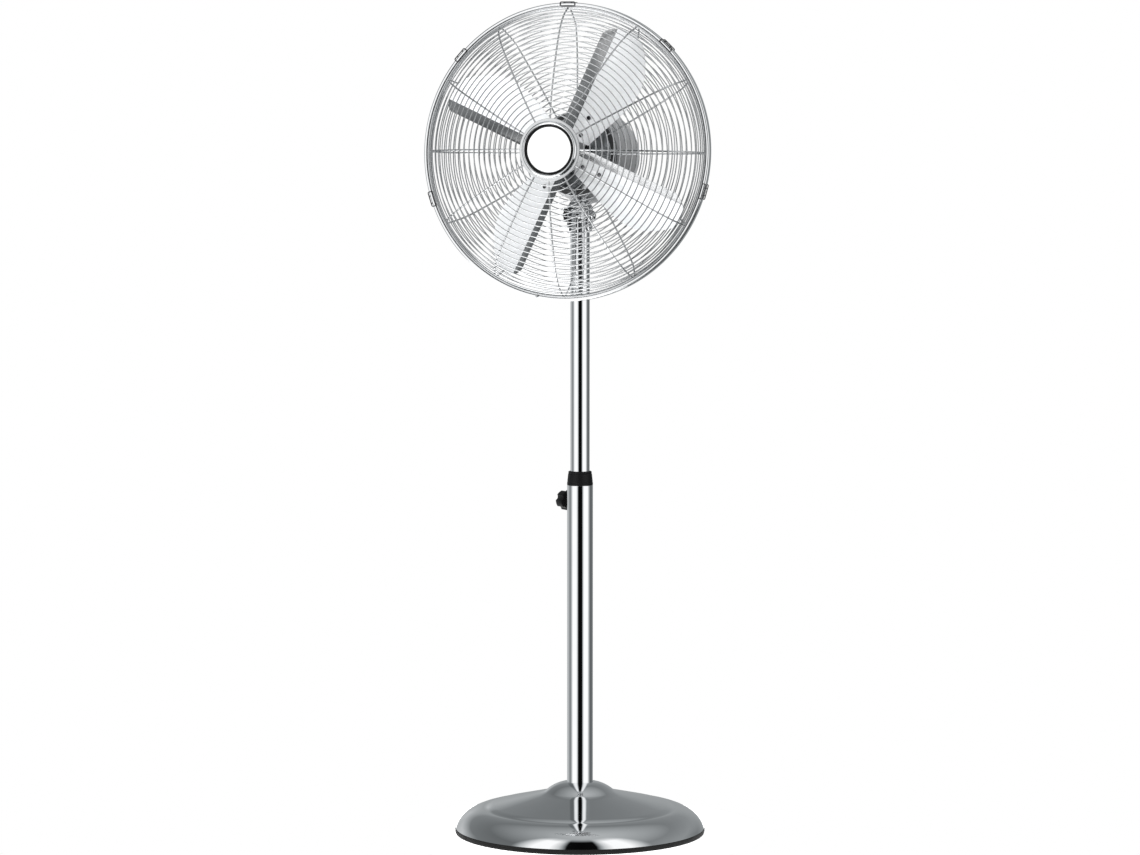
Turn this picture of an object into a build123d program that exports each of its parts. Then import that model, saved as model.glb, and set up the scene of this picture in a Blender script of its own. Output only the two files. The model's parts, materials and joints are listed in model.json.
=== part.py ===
"""Pedestal fan with a round stamped base, a telescopic column and a caged head that tilts and oscillates.

Millimetres, +Z up.  The origin is on the column's axis at floor level and the head faces -Y.
"Forward" sizes are distances along -Y from the column's axis.
"""
import os
from math import atan2, cos, degrees, hypot, radians, sin, sqrt

from build123d import *

os.makedirs("parts", exist_ok=True)

# ------------------------------------------------------------------ driving dimensions
running_gap = 0.05  # radial, shaft in bearing
slide_gap = 0.3  # radial, between parts that move past each other
seat_gap = 0.1  # between parts that are laid against each other with a curved face
clear_gap = 1.0  # round parts that must never touch
hex_sides = 6
small_round_sides = 8  # small screws and rivets
round_sides = 12  # pads and large nuts

# base
base_radius = 188.5
base_rim_height = 8.0
base_crease_radius = 137.0
base_crease_height = 41.0
base_rim_bulge = 8.0
base_boss_radius = 58.0
base_boss_height = 60.0
base_boss_bulge = 3.0
base_top_height = 77.0
base_skin = 1.2
trim_height = 6.0
trim_lip = 3.0
weight_radius = 160.0
weight_bottom = 4.0
weight_thickness = 7.0
foot_radius = 9.0
foot_count = 5
socket_flange_radius = 40.0
socket_flange_thickness = 4.0
socket_height = 130.0
base_bolt_radius = 5.0
base_bolt_head_radius = 9.0
base_bolt_head_height = 6.0

# column
lower_tube_radius = 19.5
upper_tube_radius = 14.5
tube_wall = 1.2
lower_tube_top = 528.5
upper_tube_bottom = 400.0
upper_tube_top = 929.0
collar_height = 21.0
collar_band_height = 3.5
collar_top_radius = 17.4
collar_spigot_length = 36.0
slide_shoe_height = 24.0

# height clamp
clamp_height = 502.0
clamp_direction = 139.0  # degrees about +Z from +X
clamp_boss_radius = 8.0
clamp_boss_reach = 24.0
stud_radius = 3.0
knob_radius = 15.0
knob_lobes = 5
knob_lobe_depth = 2.6
knob_length = 16.0
knob_shank_radius = 6.5
knob_shank_length = 5.0

# tilt joint
tilt_rise = 5.0  # of the tilt bolt's axis above the upper tube
head_lean = 3.4  # degrees, nose up, as the head stands at rest
tilt_bolt_radius = 4.0
mast_head_round = 11.0
mast_plug_depth = 38.0
cheek_inner = 14.8
cheek_thickness = 2.2
cheek_drop = 24.0
cheek_round = 9.0
fork_half_depth = 10.0
fork_crown_gap = 0.8
fork_shoulder_height = 9.0
fork_neck_radius = 12.0
fork_neck_rise = 35.0  # above the tilt bolt's axis
washer_thickness = 1.2
cap_nut_radius = 8.0
cap_nut_height = 4.0
cap_radius = 6.0
cap_height = 7.0
cap_edge = 2.0
bolt_overrun = 2.0  # length of the tilt bolt inside its cap nut
tilt_knob_radius = 10.0
tilt_knob_length = 7.2
tilt_knob_shank = 1.5

# oscillation pivot and linkage
spindle_radius = 4.0
spindle_depth = 21.0
spindle_reach = 14.0  # above the fork's neck
anchor_radius = 18.0
anchor_plate_thickness = 2.0
neck_washer_thickness = 1.0
pivot_boss_radius = 9.0
link_thickness = 2.0
link_half_width = 3.0
link_eye_radius = 4.6
link_pin_radius = 2.0
link_lift = 1.6  # underside of the link above the anchor plate
crank_radius = 11.6
crank_forward = -92.0
crank_gear_thickness = 4.5
gear_module = 0.8
tooth_above = 0.85  # of the module, tip above the pitch circle
tooth_below = 1.15
root_share = 0.33  # half widths of a tooth, as shares of the tooth spacing
tip_share = 0.12
pinion_teeth = 10
crank_teeth = 40
worm_wheel_teeth = 24
worm_wheel_thickness = 8.0
worm_radius = 5.0
tooth_gap = 0.3

# motor
head_rise = 91.0  # of the fan's axis above the tilt bolt's
shaft_radius = 4.0
shaft_overrun = 2.0  # beyond the worm, and short of the spinner nut's face
bell_radius = 40.0
bell_wall = 3.0
stator_length = 40.0
stator_front = -18.0
stator_bore = 22.0
stator_inset = 1.0
air_gap = 0.3
winding_reach = 11.0
winding_inner = 24.0
winding_outer = 36.0
bell_front = 16.0
rear_bell_length = 20.0
bearing_radius = 9.0
bearing_length = 7.0
motor_bolt_radius = 2.0
motor_bolt_count = 4
bolt_angle = 60.0
housing_radius = 71.5
housing_middle_radius = 69.1
housing_runs = 3  # straight runs in each of the shorter curves of its outline
housing_widest = -45.0
housing_skin = 1.2
housing_back = -128.0
housing_front_radius = 62.0
housing_front = 20.0
housing_back_radius = 26.5
housing_shoulder = -102.0
housing_shoulder_radius = 62.0
front_cover_thickness = 2.0
front_cover_dish = 7.0
guard_neck_radius = 14.0
guard_neck_wall = 4.0
guard_neck_length = 10.0
guard_nut_radius = 23.0
guard_nut_length = 7.0
gearbox_wall = 2.0
gearbox_height = 16.0  # above the fan axis
clutch_travel = 8.0
clutch_knob_radius = 8.0
clutch_knob_height = 13.0
clutch_knob_edge = 2.0
clutch_stem_radius = 2.5
speed_knob_radius = 15.0
speed_knob_length = 16.0
speed_knob_edge = 2.0
speed_stem_radius = 3.0
switch_half_width = 13.0
switch_depth = 8.0
capacitor_width = 14.0

# guards
rim_forward = 76.0
rim_radius = 214.0
rim_wire = 5.0
rim_gap = 0.3
spoke_wire = 2.4
ring_wire = 2.2
ring_count = 10  # ring wires in each guard
weld_sink = 0.05
spoke_count = 12
coarse_ring_radius = 110.0  # rings beyond this get two straight runs between spokes
front_depth = 83.0
rear_depth = 50.0
front_spoke_seat = 3.2  # reach of a spoke over its hub plate
rear_spoke_seat = 3.71
front_shape = ((0.335, 0.965), (0.585, 0.78), (0.81, 0.55), (0.93, 0.31))  # shares of rim_radius and front_depth
rear_shape = ((0.53, 1.0), (0.69, 0.94), (0.87, 0.78), (0.955, 0.42))
hub_plate_radius = 46.0
hub_plate_bore = 30.0
rear_plate_radius = 54.0
plate_thickness = 2.4
hoop_play = 2.8  # between the rim wires and the hoop's wall
hoop_wall = 1.2
hoop_half_width = 6.5
hoop_lip = 6.0
clip_angles = (90.0, 139.0, 199.0, 345.0, 46.0)
clip_width = 24.0
clip_wall = 1.4
clip_reach = 7.6
joint_screw_angle = 259.5
joint_screw_radius = 2.4
badge_radius = 36.5
bezel_radius = 42.0
bezel_height = 5.0
badge_thickness = 2.5
badge_screw_radius = 1.5
badge_screw_circle = 24.0
badge_screw_count = 3

# blades
blade_count = 4
blade_angle = 65.6
tip_clearance = 15.0  # between the blades' tips and the middle of the rim wires
blade_thickness = 1.2
blade_root = 22.0
strip_start = -18.0  # across the blade, from the rolled rear edge
strip_end = -4.0
strip_rise = 16.0
fold_forward = 6.0
blade_reach = 62.0
blade_fall = 21.0
blade_camber = 5.0
blade_heel = 4.0  # root's reach past the arm
heel_share = 0.7  # of strip_start, where the root begins
strip_top = 0.92  # of blade_tip_radius, where the tip starts to round off
tip_turn = (0.45, 0.98)  # shares of strip_start and blade_tip_radius
tip_peak = 0.22  # of blade_reach
leading_shape = ((0.7, 0.9), (0.97, 0.65), (0.75, 0.38))  # shares of blade_reach and blade_tip_radius
leading_run_in = (-0.4, -1)  # direction in which the leading edge meets the root
hub_radius = 16.0
hub_back = 62.0
hub_front = 86.0
arm_thickness = 2.0
arm_length = 72.0
arm_start = -2.0
arm_end = 20.0
rivet_shank = 1.6
rivet_head_radius = 3.2
rivet_head = 1.2
rivet_stations = (32.0, 60.0)
rivet_across = 9.0
spinner_radius = 13.0
spinner_length = 12.0
spinner_taper = 8.0  # degrees

# ------------------------------------------------------------------ derived places
tilt_height = upper_tube_top + tilt_rise
fork_neck_top = tilt_height + fork_neck_rise
spindle_top = fork_neck_top + spindle_reach
fan_axis_height = tilt_height + head_rise
fan_axis = Axis((0, 0, fan_axis_height), (0, -1, 0))
facing = Plane(origin=(0, 0, fan_axis_height), x_dir=(1, 0, 0), z_dir=(0, -1, 0))
side_view = Plane(origin=(0, 0, fan_axis_height), x_dir=(0, -1, 0), z_dir=(-1, 0, 0))
tilt_axis = Axis((0, 0, tilt_height), (-1, 0, 0))
tilt_plane = Plane(origin=(0, 0, tilt_height), x_dir=(0, 1, 0), z_dir=(1, 0, 0))
hoop_radius = rim_radius + rim_wire / 2 + hoop_play + hoop_wall
blade_tip_radius = rim_radius - tip_clearance
lower_bore = lower_tube_radius - tube_wall
upper_bore = upper_tube_radius - tube_wall


def save(piece, name, leans=False):
    """Label a finished piece and write it as its own STEP file.

    The pieces that tilt are drawn with the head level, and lean back about the tilt bolt here.
    """
    placed = piece.rotate(tilt_axis, head_lean) if leans else piece
    placed.label = name
    export_step(placed, f"parts/{name}.step")


# ------------------------------------------------------------------ base
collar_seat = lower_tube_radius + seat_gap
outer_rim = (base_radius, base_rim_height)
outer_crease = (base_crease_radius, base_crease_height)
outer_boss = (base_boss_radius, base_boss_height)
outer_top = (collar_seat, base_top_height)
inner_top = (collar_seat, base_top_height - 2 * base_skin)
inner_boss = (base_boss_radius - base_skin, base_boss_height - base_skin)
inner_crease = (base_crease_radius - base_skin, base_crease_height - base_skin)
inner_rim = (base_radius - base_skin, base_rim_height)
with BuildPart() as base_cover:
    with BuildSketch(Plane.XZ):
        with BuildLine():
            SagittaArc(outer_rim, outer_crease, -base_rim_bulge)
            Line(outer_crease, outer_boss)
            SagittaArc(outer_boss, outer_top, -base_boss_bulge)
            Line(outer_top, inner_top)
            Line(inner_top, inner_boss)
            Line(inner_boss, inner_crease)
            SagittaArc(inner_crease, inner_rim, base_rim_bulge)
            Line(inner_rim, outer_rim)
        make_face()
    revolve(axis=Axis.Z)
save(base_cover.part, "base_cover")

with BuildPart() as base_edge_trim:
    with BuildSketch(Plane.XZ):
        with BuildLine():
            Polyline(
                (base_radius - trim_lip, 0),
                (base_radius, 0),
                (base_radius + base_skin / 2, trim_height / 3),
                (base_radius + base_skin / 2, base_rim_height),
                (base_radius - trim_lip, base_rim_height),
                close=True,
            )
        make_face()
    revolve(axis=Axis.Z)
save(base_edge_trim.part, "base_edge_trim")

weight_top = weight_bottom + weight_thickness
with BuildPart() as base_weight:
    with BuildSketch(Plane.XY.offset(weight_bottom)):
        Circle(weight_radius)
    extrude(amount=weight_thickness)
    chamfer(base_weight.edges().group_by(Axis.Z)[-1], weight_thickness / 3)
    with Locations((0, 0, weight_bottom)):
        Cylinder(
            base_bolt_head_radius + clear_gap,
            base_bolt_head_height / 2,
            align=(Align.CENTER, Align.CENTER, Align.MIN),
            mode=Mode.SUBTRACT,
        )
    Hole(base_bolt_radius + slide_gap)
save(base_weight.part, "base_weight")

foot_circle = weight_radius - 2 * foot_radius
with BuildPart() as base_feet:
    with BuildSketch(Plane.XY):
        with PolarLocations(foot_circle, foot_count):
            RegularPolygon(foot_radius, round_sides)
    extrude(amount=weight_bottom)
save(base_feet.part, "base_feet")

with BuildPart() as base_socket:
    with BuildSketch(Plane.XY.offset(weight_top)):
        Circle(socket_flange_radius)
    extrude(amount=socket_flange_thickness)
    with BuildSketch(Plane.XY.offset(weight_top)):
        Circle(lower_bore - seat_gap)
    extrude(amount=socket_height - weight_top)
    Hole(base_bolt_radius)
save(base_socket.part, "base_socket")

with BuildPart() as base_bolt:
    with BuildSketch(Plane.XY.offset(weight_bottom - base_bolt_head_height / 2)):
        RegularPolygon(base_bolt_head_radius, hex_sides)
    extrude(amount=base_bolt_head_height)
    with BuildSketch(Plane.XY.offset(weight_bottom)):
        Circle(base_bolt_radius)
    extrude(amount=socket_height - 2 * weight_bottom)
save(base_bolt.part, "base_bolt")

# ------------------------------------------------------------------ column
socket_seat = weight_top + socket_flange_thickness
clamp_axis_dir = Vector(cos(radians(clamp_direction)), sin(radians(clamp_direction)), 0)
clamp_plane = Plane(origin=(0, 0, clamp_height), x_dir=(0, 0, 1), z_dir=tuple(clamp_axis_dir))

with BuildPart() as lower_tube:
    with BuildSketch(Plane.XY.offset(socket_seat)):
        Circle(lower_tube_radius)
        Circle(lower_bore, mode=Mode.SUBTRACT)
    extrude(amount=lower_tube_top - socket_seat)
    with BuildSketch(clamp_plane):
        Circle(stud_radius + slide_gap)
    extrude(amount=lower_tube_radius + tube_wall, mode=Mode.SUBTRACT)
save(lower_tube.part, "lower_tube")

with BuildPart() as height_collar:
    with BuildSketch(Plane.XZ):
        with BuildLine():
            Polyline(
                (upper_tube_radius + slide_gap, lower_tube_top - collar_spigot_length),
                (lower_bore - seat_gap, lower_tube_top - collar_spigot_length),
                (lower_bore - seat_gap, lower_tube_top),
                (lower_tube_radius, lower_tube_top),
                (lower_tube_radius, lower_tube_top + collar_band_height),
                (collar_top_radius, lower_tube_top + collar_height),
                (upper_tube_radius + slide_gap, lower_tube_top + collar_height),
                close=True,
            )
        make_face()
    revolve(axis=Axis.Z)
    with BuildSketch(clamp_plane):
        Circle(stud_radius + slide_gap)
    extrude(amount=lower_tube_radius, mode=Mode.SUBTRACT)
save(height_collar.part, "height_collar")

with BuildPart() as clamp_boss:
    with BuildSketch(clamp_plane.offset(stud_radius)):
        RegularPolygon(clamp_boss_radius, hex_sides)
        Circle(stud_radius + running_gap, mode=Mode.SUBTRACT)
    extrude(amount=clamp_boss_reach - stud_radius)
    with BuildSketch(Plane.XY.offset(clamp_height - clamp_boss_radius)):
        Circle(lower_tube_radius + running_gap)
    extrude(amount=2 * clamp_boss_radius, mode=Mode.SUBTRACT)
save(clamp_boss.part, "clamp_boss")


def lobed_knob(plane, radius, length, shank_length):
    """A moulded hand knob: a round shank on the given plane, then a lobed grip."""
    with BuildPart() as knob:
        with BuildSketch(plane):
            Circle(knob_shank_radius)
        extrude(amount=shank_length)
        with BuildSketch(plane.offset(shank_length)):
            Circle(radius)
            with PolarLocations(radius + knob_lobe_depth, knob_lobes):
                Circle(2 * knob_lobe_depth, mode=Mode.SUBTRACT)
        extrude(amount=length)
    return knob.part


stud_end = clamp_boss_reach + knob_shank_length + knob_length / 2
with BuildPart() as height_stud:
    with BuildSketch(clamp_plane.offset(upper_tube_radius + slide_gap)):
        Circle(stud_radius)
    extrude(amount=stud_end - upper_tube_radius - slide_gap)
save(height_stud.part, "height_stud")

knob_face = clamp_plane.offset(clamp_boss_reach + slide_gap)
with BuildPart() as height_knob:
    add(lobed_knob(knob_face, knob_radius, knob_length, knob_shank_length))
    with BuildSketch(knob_face):
        Circle(stud_radius)
    extrude(amount=stud_end - clamp_boss_reach - slide_gap, mode=Mode.SUBTRACT)
save(height_knob.part, "height_knob")

with BuildPart() as upper_tube:
    with BuildSketch(Plane.XY.offset(upper_tube_bottom)):
        Circle(upper_tube_radius)
        Circle(upper_bore, mode=Mode.SUBTRACT)
    extrude(amount=upper_tube_top - upper_tube_bottom)
save(upper_tube.part, "upper_tube")

with BuildPart() as slide_shoe:
    with BuildSketch(Plane.XY.offset(upper_tube_bottom - washer_thickness)):
        Circle(lower_bore - slide_gap)
        Circle(upper_bore / 2, mode=Mode.SUBTRACT)
    extrude(amount=washer_thickness)
    with BuildSketch(Plane.XY.offset(upper_tube_bottom)):
        Circle(upper_bore - seat_gap)
        Circle(upper_bore / 2, mode=Mode.SUBTRACT)
    extrude(amount=slide_shoe_height)
save(slide_shoe.part, "slide_shoe")

with BuildPart() as mast_head:
    with BuildSketch(Plane.XY.offset(upper_tube_top - mast_plug_depth)):
        Circle(upper_bore - seat_gap)
    extrude(amount=mast_plug_depth)
    with BuildSketch(Plane.XY.offset(upper_tube_top)):
        Circle(upper_tube_radius)
    extrude(amount=tilt_height + mast_head_round - upper_tube_top)
    with BuildSketch(tilt_plane.offset(-upper_tube_radius)):
        with Locations((0, -mast_plug_depth)):
            Rectangle(2 * upper_tube_radius, 2 * (mast_plug_depth + upper_tube_top - tilt_height))
        Rectangle(2 * mast_head_round, 2 * (tilt_height - upper_tube_top))
        Circle(mast_head_round)
    extrude(amount=2 * upper_tube_radius, mode=Mode.INTERSECT)
    with BuildSketch(tilt_plane.offset(-upper_tube_radius)):
        Circle(tilt_bolt_radius + running_gap)
    extrude(amount=2 * upper_tube_radius, mode=Mode.SUBTRACT)
save(mast_head.part, "mast_head")

# ------------------------------------------------------------------ tilting neck
cheek_outer = cheek_inner + cheek_thickness
fork_inside_top = tilt_height + mast_head_round + fork_crown_gap
fork_shoulder = fork_inside_top + fork_shoulder_height
with BuildPart() as tilt_fork:
    with BuildSketch(Plane.XZ.offset(-fork_half_depth)):
        with BuildLine():
            Polyline(
                (-cheek_outer, tilt_height - cheek_drop),
                (-cheek_inner, tilt_height - cheek_drop),
                (-cheek_inner, fork_inside_top),
                (cheek_inner, fork_inside_top),
                (cheek_inner, tilt_height - cheek_drop),
                (cheek_outer, tilt_height - cheek_drop),
                (cheek_outer, fork_inside_top),
                (fork_neck_radius, fork_shoulder),
                (-fork_neck_radius, fork_shoulder),
                (-cheek_outer, fork_inside_top),
                close=True,
            )
        make_face()
    extrude(amount=2 * fork_half_depth)
    fillet(tilt_fork.edges().filter_by(Axis.X).group_by(Axis.Z)[0], cheek_round)
    with BuildSketch(Plane.XY.offset(fork_shoulder - cheek_thickness)):
        Circle(fork_neck_radius)
    extrude(amount=fork_neck_top - fork_shoulder + cheek_thickness)
    with BuildSketch(tilt_plane.offset(-cheek_outer)):
        Circle(tilt_bolt_radius)
    extrude(amount=2 * cheek_outer, mode=Mode.SUBTRACT)
    with BuildSketch(Plane.XY.offset(fork_neck_top)):
        Circle(spindle_radius)
    extrude(amount=-spindle_depth, mode=Mode.SUBTRACT)
save(tilt_fork.part, "tilt_fork", leans=True)

knob_seat = cheek_outer + running_gap
with BuildPart() as tilt_bolt:
    with BuildSketch(tilt_plane.offset(-knob_seat - tilt_knob_length)):
        Circle(tilt_bolt_radius)
    extrude(amount=knob_seat + tilt_knob_length + cheek_outer + bolt_overrun)
save(tilt_bolt.part, "tilt_bolt", leans=True)

with BuildPart() as tilt_cap_nut:
    with BuildSketch(tilt_plane.offset(cheek_outer)):
        RegularPolygon(cap_nut_radius, hex_sides)
    extrude(amount=cap_nut_height)
    with BuildSketch(tilt_plane.offset(cheek_outer)):
        Circle(cap_radius)
    extrude(amount=cap_height)
    chamfer(tilt_cap_nut.edges().group_by(Axis.X)[-1], cap_edge)
    with BuildSketch(tilt_plane.offset(cheek_outer)):
        Circle(tilt_bolt_radius)
    extrude(amount=bolt_overrun, mode=Mode.SUBTRACT)
save(tilt_cap_nut.part, "tilt_cap_nut", leans=True)

tilt_knob_plane = Plane(origin=(-knob_seat, 0, tilt_height), x_dir=(0, 1, 0), z_dir=(-1, 0, 0))
with BuildPart() as tilt_knob:
    add(lobed_knob(tilt_knob_plane, tilt_knob_radius, tilt_knob_length - tilt_knob_shank, tilt_knob_shank))
    with BuildSketch(tilt_knob_plane):
        Circle(tilt_bolt_radius + running_gap)
    extrude(amount=tilt_knob_length, mode=Mode.SUBTRACT)
save(tilt_knob.part, "tilt_knob", leans=True)

with BuildPart() as oscillation_spindle:
    with BuildSketch(Plane.XY.offset(fork_neck_top - spindle_depth)):
        Circle(spindle_radius)
    extrude(amount=spindle_top - fork_neck_top + spindle_depth)
save(oscillation_spindle.part, "oscillation_spindle", leans=True)

# ------------------------------------------------------------------ oscillation linkage
anchor_top = fork_neck_top + anchor_plate_thickness
link_bottom = anchor_top + link_lift
link_top = link_bottom + link_thickness
with BuildPart() as link_anchor:
    with BuildSketch(Plane.XY.offset(fork_neck_top)):
        Circle(fork_neck_radius)
        with Locations((anchor_radius, 0)):
            Circle(link_eye_radius)
        with Locations((anchor_radius / 2, 0)):
            Rectangle(anchor_radius, 2 * link_eye_radius)
        Circle(spindle_radius, mode=Mode.SUBTRACT)
    extrude(amount=anchor_plate_thickness)
    with BuildSketch(Plane.XY.offset(anchor_top)):
        with Locations((anchor_radius, 0)):
            Circle(link_pin_radius)
    extrude(amount=link_top - anchor_top + link_pin_radius / 2)
save(link_anchor.part, "link_anchor", leans=True)

with BuildPart() as neck_washer:
    with BuildSketch(Plane.XY.offset(anchor_top)):
        Circle(pivot_boss_radius)
        Circle(spindle_radius + running_gap, mode=Mode.SUBTRACT)
    extrude(amount=neck_washer_thickness)
save(neck_washer.part, "neck_washer", leans=True)

crank_back = -crank_forward
with BuildPart() as oscillation_link:
    with BuildSketch(Plane.XY.offset(link_bottom)):
        with Locations((anchor_radius, 0), (crank_radius, crank_back)):
            Circle(link_eye_radius)
        with BuildLine():
            Polyline(
                (anchor_radius - link_half_width, 0),
                (anchor_radius + link_half_width, 0),
                (crank_radius + link_half_width, crank_back),
                (crank_radius - link_half_width, crank_back),
                close=True,
            )
        make_face()
        with Locations((anchor_radius, 0), (crank_radius, crank_back)):
            Circle(link_pin_radius + running_gap, mode=Mode.SUBTRACT)
    extrude(amount=link_thickness)
save(oscillation_link.part, "oscillation_link", leans=True)


def gear_outline(teeth, turn):
    """A spur gear's outline with straight-flanked teeth, one of them centred at `turn` degrees."""
    pitch_radius = gear_module * teeth / 2
    tip = pitch_radius + tooth_above * gear_module
    root = pitch_radius - tooth_below * gear_module
    step = 360 / teeth
    corners = []
    for tooth in range(teeth):
        middle = turn + tooth * step
        for radius, share in ((root, -root_share), (tip, -tip_share), (tip, tip_share), (root, root_share)):
            angle = radians(middle + share * step)
            corners.append((radius * cos(angle), radius * sin(angle)))
    return corners


gear_bottom = link_top + slide_gap + link_pin_radius
gear_reach = gear_module * (pinion_teeth + crank_teeth) / 2
wheel_radius = gear_module * worm_wheel_teeth / 2
wheel_x = worm_radius + tooth_gap + wheel_radius + tooth_above * gear_module
wheel_y = crank_back + sqrt(gear_reach**2 - wheel_x**2)
mesh_angle = degrees(atan2(wheel_y - crank_back, wheel_x))
crank_plane = Plane(origin=(0, crank_back, gear_bottom), z_dir=(0, 0, 1))
pinion_plane = Plane(origin=(wheel_x, wheel_y, gear_bottom), z_dir=(0, 0, 1))
wheel_plane = Plane(
    origin=(wheel_x, wheel_y, fan_axis_height - worm_wheel_thickness / 2), z_dir=(0, 0, 1)
)

with BuildPart() as crank_gear:
    with BuildSketch(crank_plane):
        Polygon(*gear_outline(crank_teeth, mesh_angle), align=None)
    extrude(amount=crank_gear_thickness)
    with BuildSketch(crank_plane):
        with Locations((crank_radius, 0)):
            Circle(link_pin_radius)
    extrude(amount=-link_pin_radius)
    with BuildSketch(crank_plane):
        Circle(link_half_width + running_gap)
    extrude(amount=crank_gear_thickness, mode=Mode.SUBTRACT)
save(crank_gear.part, "crank_gear", leans=True)

case_floor = gear_bottom + crank_gear_thickness + clear_gap
case_roof = fan_axis_height + gearbox_height
with BuildPart() as worm_wheel:
    with BuildSketch(wheel_plane):
        Polygon(*gear_outline(worm_wheel_teeth, 0), align=None)
    extrude(amount=worm_wheel_thickness)
    with BuildSketch(pinion_plane):
        Circle(link_half_width)
    extrude(amount=fan_axis_height - gear_bottom)
    with BuildSketch(pinion_plane):
        Polygon(
            *gear_outline(pinion_teeth, 180 + mesh_angle + 180 / pinion_teeth), align=None
        )
    extrude(amount=crank_gear_thickness)
save(worm_wheel.part, "worm_wheel", leans=True)

# ------------------------------------------------------------------ motor
pivot_boss_bottom = anchor_top + neck_washer_thickness
bolt_circle = bell_radius + motor_bolt_radius
stator_back = stator_front - stator_length
bell_back = stator_back - rear_bell_length


def bell(open_at, closed_at):
    """A cup-shaped end bracket with a bearing seat in its closed end and four bolt lugs."""
    depth = closed_at - open_at
    inward = -1 if depth > 0 else 1
    with BuildPart() as cup:
        with BuildSketch(facing.offset(open_at)):
            Circle(bell_radius)
            with PolarLocations(bolt_circle, motor_bolt_count, start_angle=bolt_angle):
                Circle(2 * motor_bolt_radius)
        extrude(amount=depth)
        with BuildSketch(facing.offset(open_at)):
            Circle(bell_radius - bell_wall)
        extrude(amount=depth + inward * bell_wall, mode=Mode.SUBTRACT)
        with BuildSketch(facing.offset(closed_at)):
            Circle(bearing_radius + bell_wall)
        extrude(amount=inward * bearing_length)
        with BuildSketch(facing.offset(closed_at)):
            Circle(bearing_radius)
        extrude(amount=inward * bearing_length, mode=Mode.SUBTRACT)
        with BuildSketch(facing.offset(open_at)):
            with PolarLocations(bolt_circle, motor_bolt_count, start_angle=bolt_angle):
                Circle(motor_bolt_radius + running_gap)
        extrude(amount=depth, mode=Mode.SUBTRACT)
    return cup.part


with BuildPart() as motor_front_bell:
    add(bell(stator_front, bell_front))
    with BuildSketch(Plane.XY.offset(pivot_boss_bottom)):
        Circle(pivot_boss_radius)
    extrude(amount=fan_axis_height - bell_radius + bell_wall - pivot_boss_bottom)
    with BuildSketch(facing.offset(stator_front)):
        Circle(bell_radius - bell_wall)
    extrude(amount=bell_front - stator_front - bell_wall, mode=Mode.SUBTRACT)
    with BuildSketch(Plane.XY.offset(pivot_boss_bottom)):
        Circle(spindle_radius + running_gap)
    extrude(amount=spindle_top + seat_gap - pivot_boss_bottom, mode=Mode.SUBTRACT)
    with BuildSketch(facing.offset(bell_front)):
        Circle(bearing_radius + bell_wall)
        Circle(bearing_radius, mode=Mode.SUBTRACT)
    extrude(amount=-bearing_length)
save(motor_front_bell.part, "motor_front_bell", leans=True)

with BuildPart() as motor_rear_bell:
    add(bell(stator_back, bell_back))
save(motor_rear_bell.part, "motor_rear_bell", leans=True)

with BuildPart() as stator_core:
    with BuildSketch(facing.offset(stator_front)):
        Circle(bell_radius - stator_inset)
        Circle(stator_bore, mode=Mode.SUBTRACT)
    extrude(amount=-stator_length)
save(stator_core.part, "stator_core", leans=True)

with BuildPart() as stator_windings:
    for winding_end, reach in ((stator_front, winding_reach), (stator_back, -winding_reach)):
        with BuildSketch(facing.offset(winding_end)):
            Circle(winding_outer)
            Circle(winding_inner, mode=Mode.SUBTRACT)
        extrude(amount=reach)
save(stator_windings.part, "stator_windings", leans=True)

with BuildPart() as motor_bolts:
    with BuildSketch(facing.offset(bell_front)):
        with PolarLocations(bolt_circle, motor_bolt_count, start_angle=bolt_angle):
            RegularPolygon(motor_bolt_radius, hex_sides)
    extrude(amount=bell_back - bell_front)
    for head_at, reach in ((bell_front, motor_bolt_radius), (bell_back, -motor_bolt_radius)):
        with BuildSketch(facing.offset(head_at)):
            with PolarLocations(bolt_circle, motor_bolt_count, start_angle=bolt_angle):
                RegularPolygon(2 * motor_bolt_radius, hex_sides)
        extrude(amount=reach)
save(motor_bolts.part, "motor_bolts", leans=True)

with BuildPart() as shaft_bearings:
    for bearing_face, reach in ((bell_front, -bearing_length), (bell_back, bearing_length)):
        with BuildSketch(facing.offset(bearing_face)):
            Circle(bearing_radius)
            Circle(shaft_radius + running_gap, mode=Mode.SUBTRACT)
        extrude(amount=reach)
save(shaft_bearings.part, "shaft_bearings", leans=True)

with BuildPart() as rotor_core:
    with BuildSketch(facing.offset(stator_front)):
        Circle(stator_bore - air_gap)
        Circle(shaft_radius, mode=Mode.SUBTRACT)
    extrude(amount=-stator_length)
save(rotor_core.part, "rotor_core", leans=True)

worm_half = worm_wheel_thickness
shaft_end = hub_front + spinner_length - shaft_overrun
shaft_tail = -wheel_y - worm_half - shaft_overrun
with BuildPart() as motor_shaft:
    with BuildSketch(facing.offset(shaft_tail)):
        Circle(shaft_radius)
    extrude(amount=shaft_end - shaft_tail)
save(motor_shaft.part, "motor_shaft", leans=True)

with BuildPart() as worm:
    with BuildSketch(facing.offset(-wheel_y - worm_half)):
        Circle(worm_radius)
        Circle(shaft_radius, mode=Mode.SUBTRACT)
    extrude(amount=2 * worm_half)
save(worm.part, "worm", leans=True)

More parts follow.
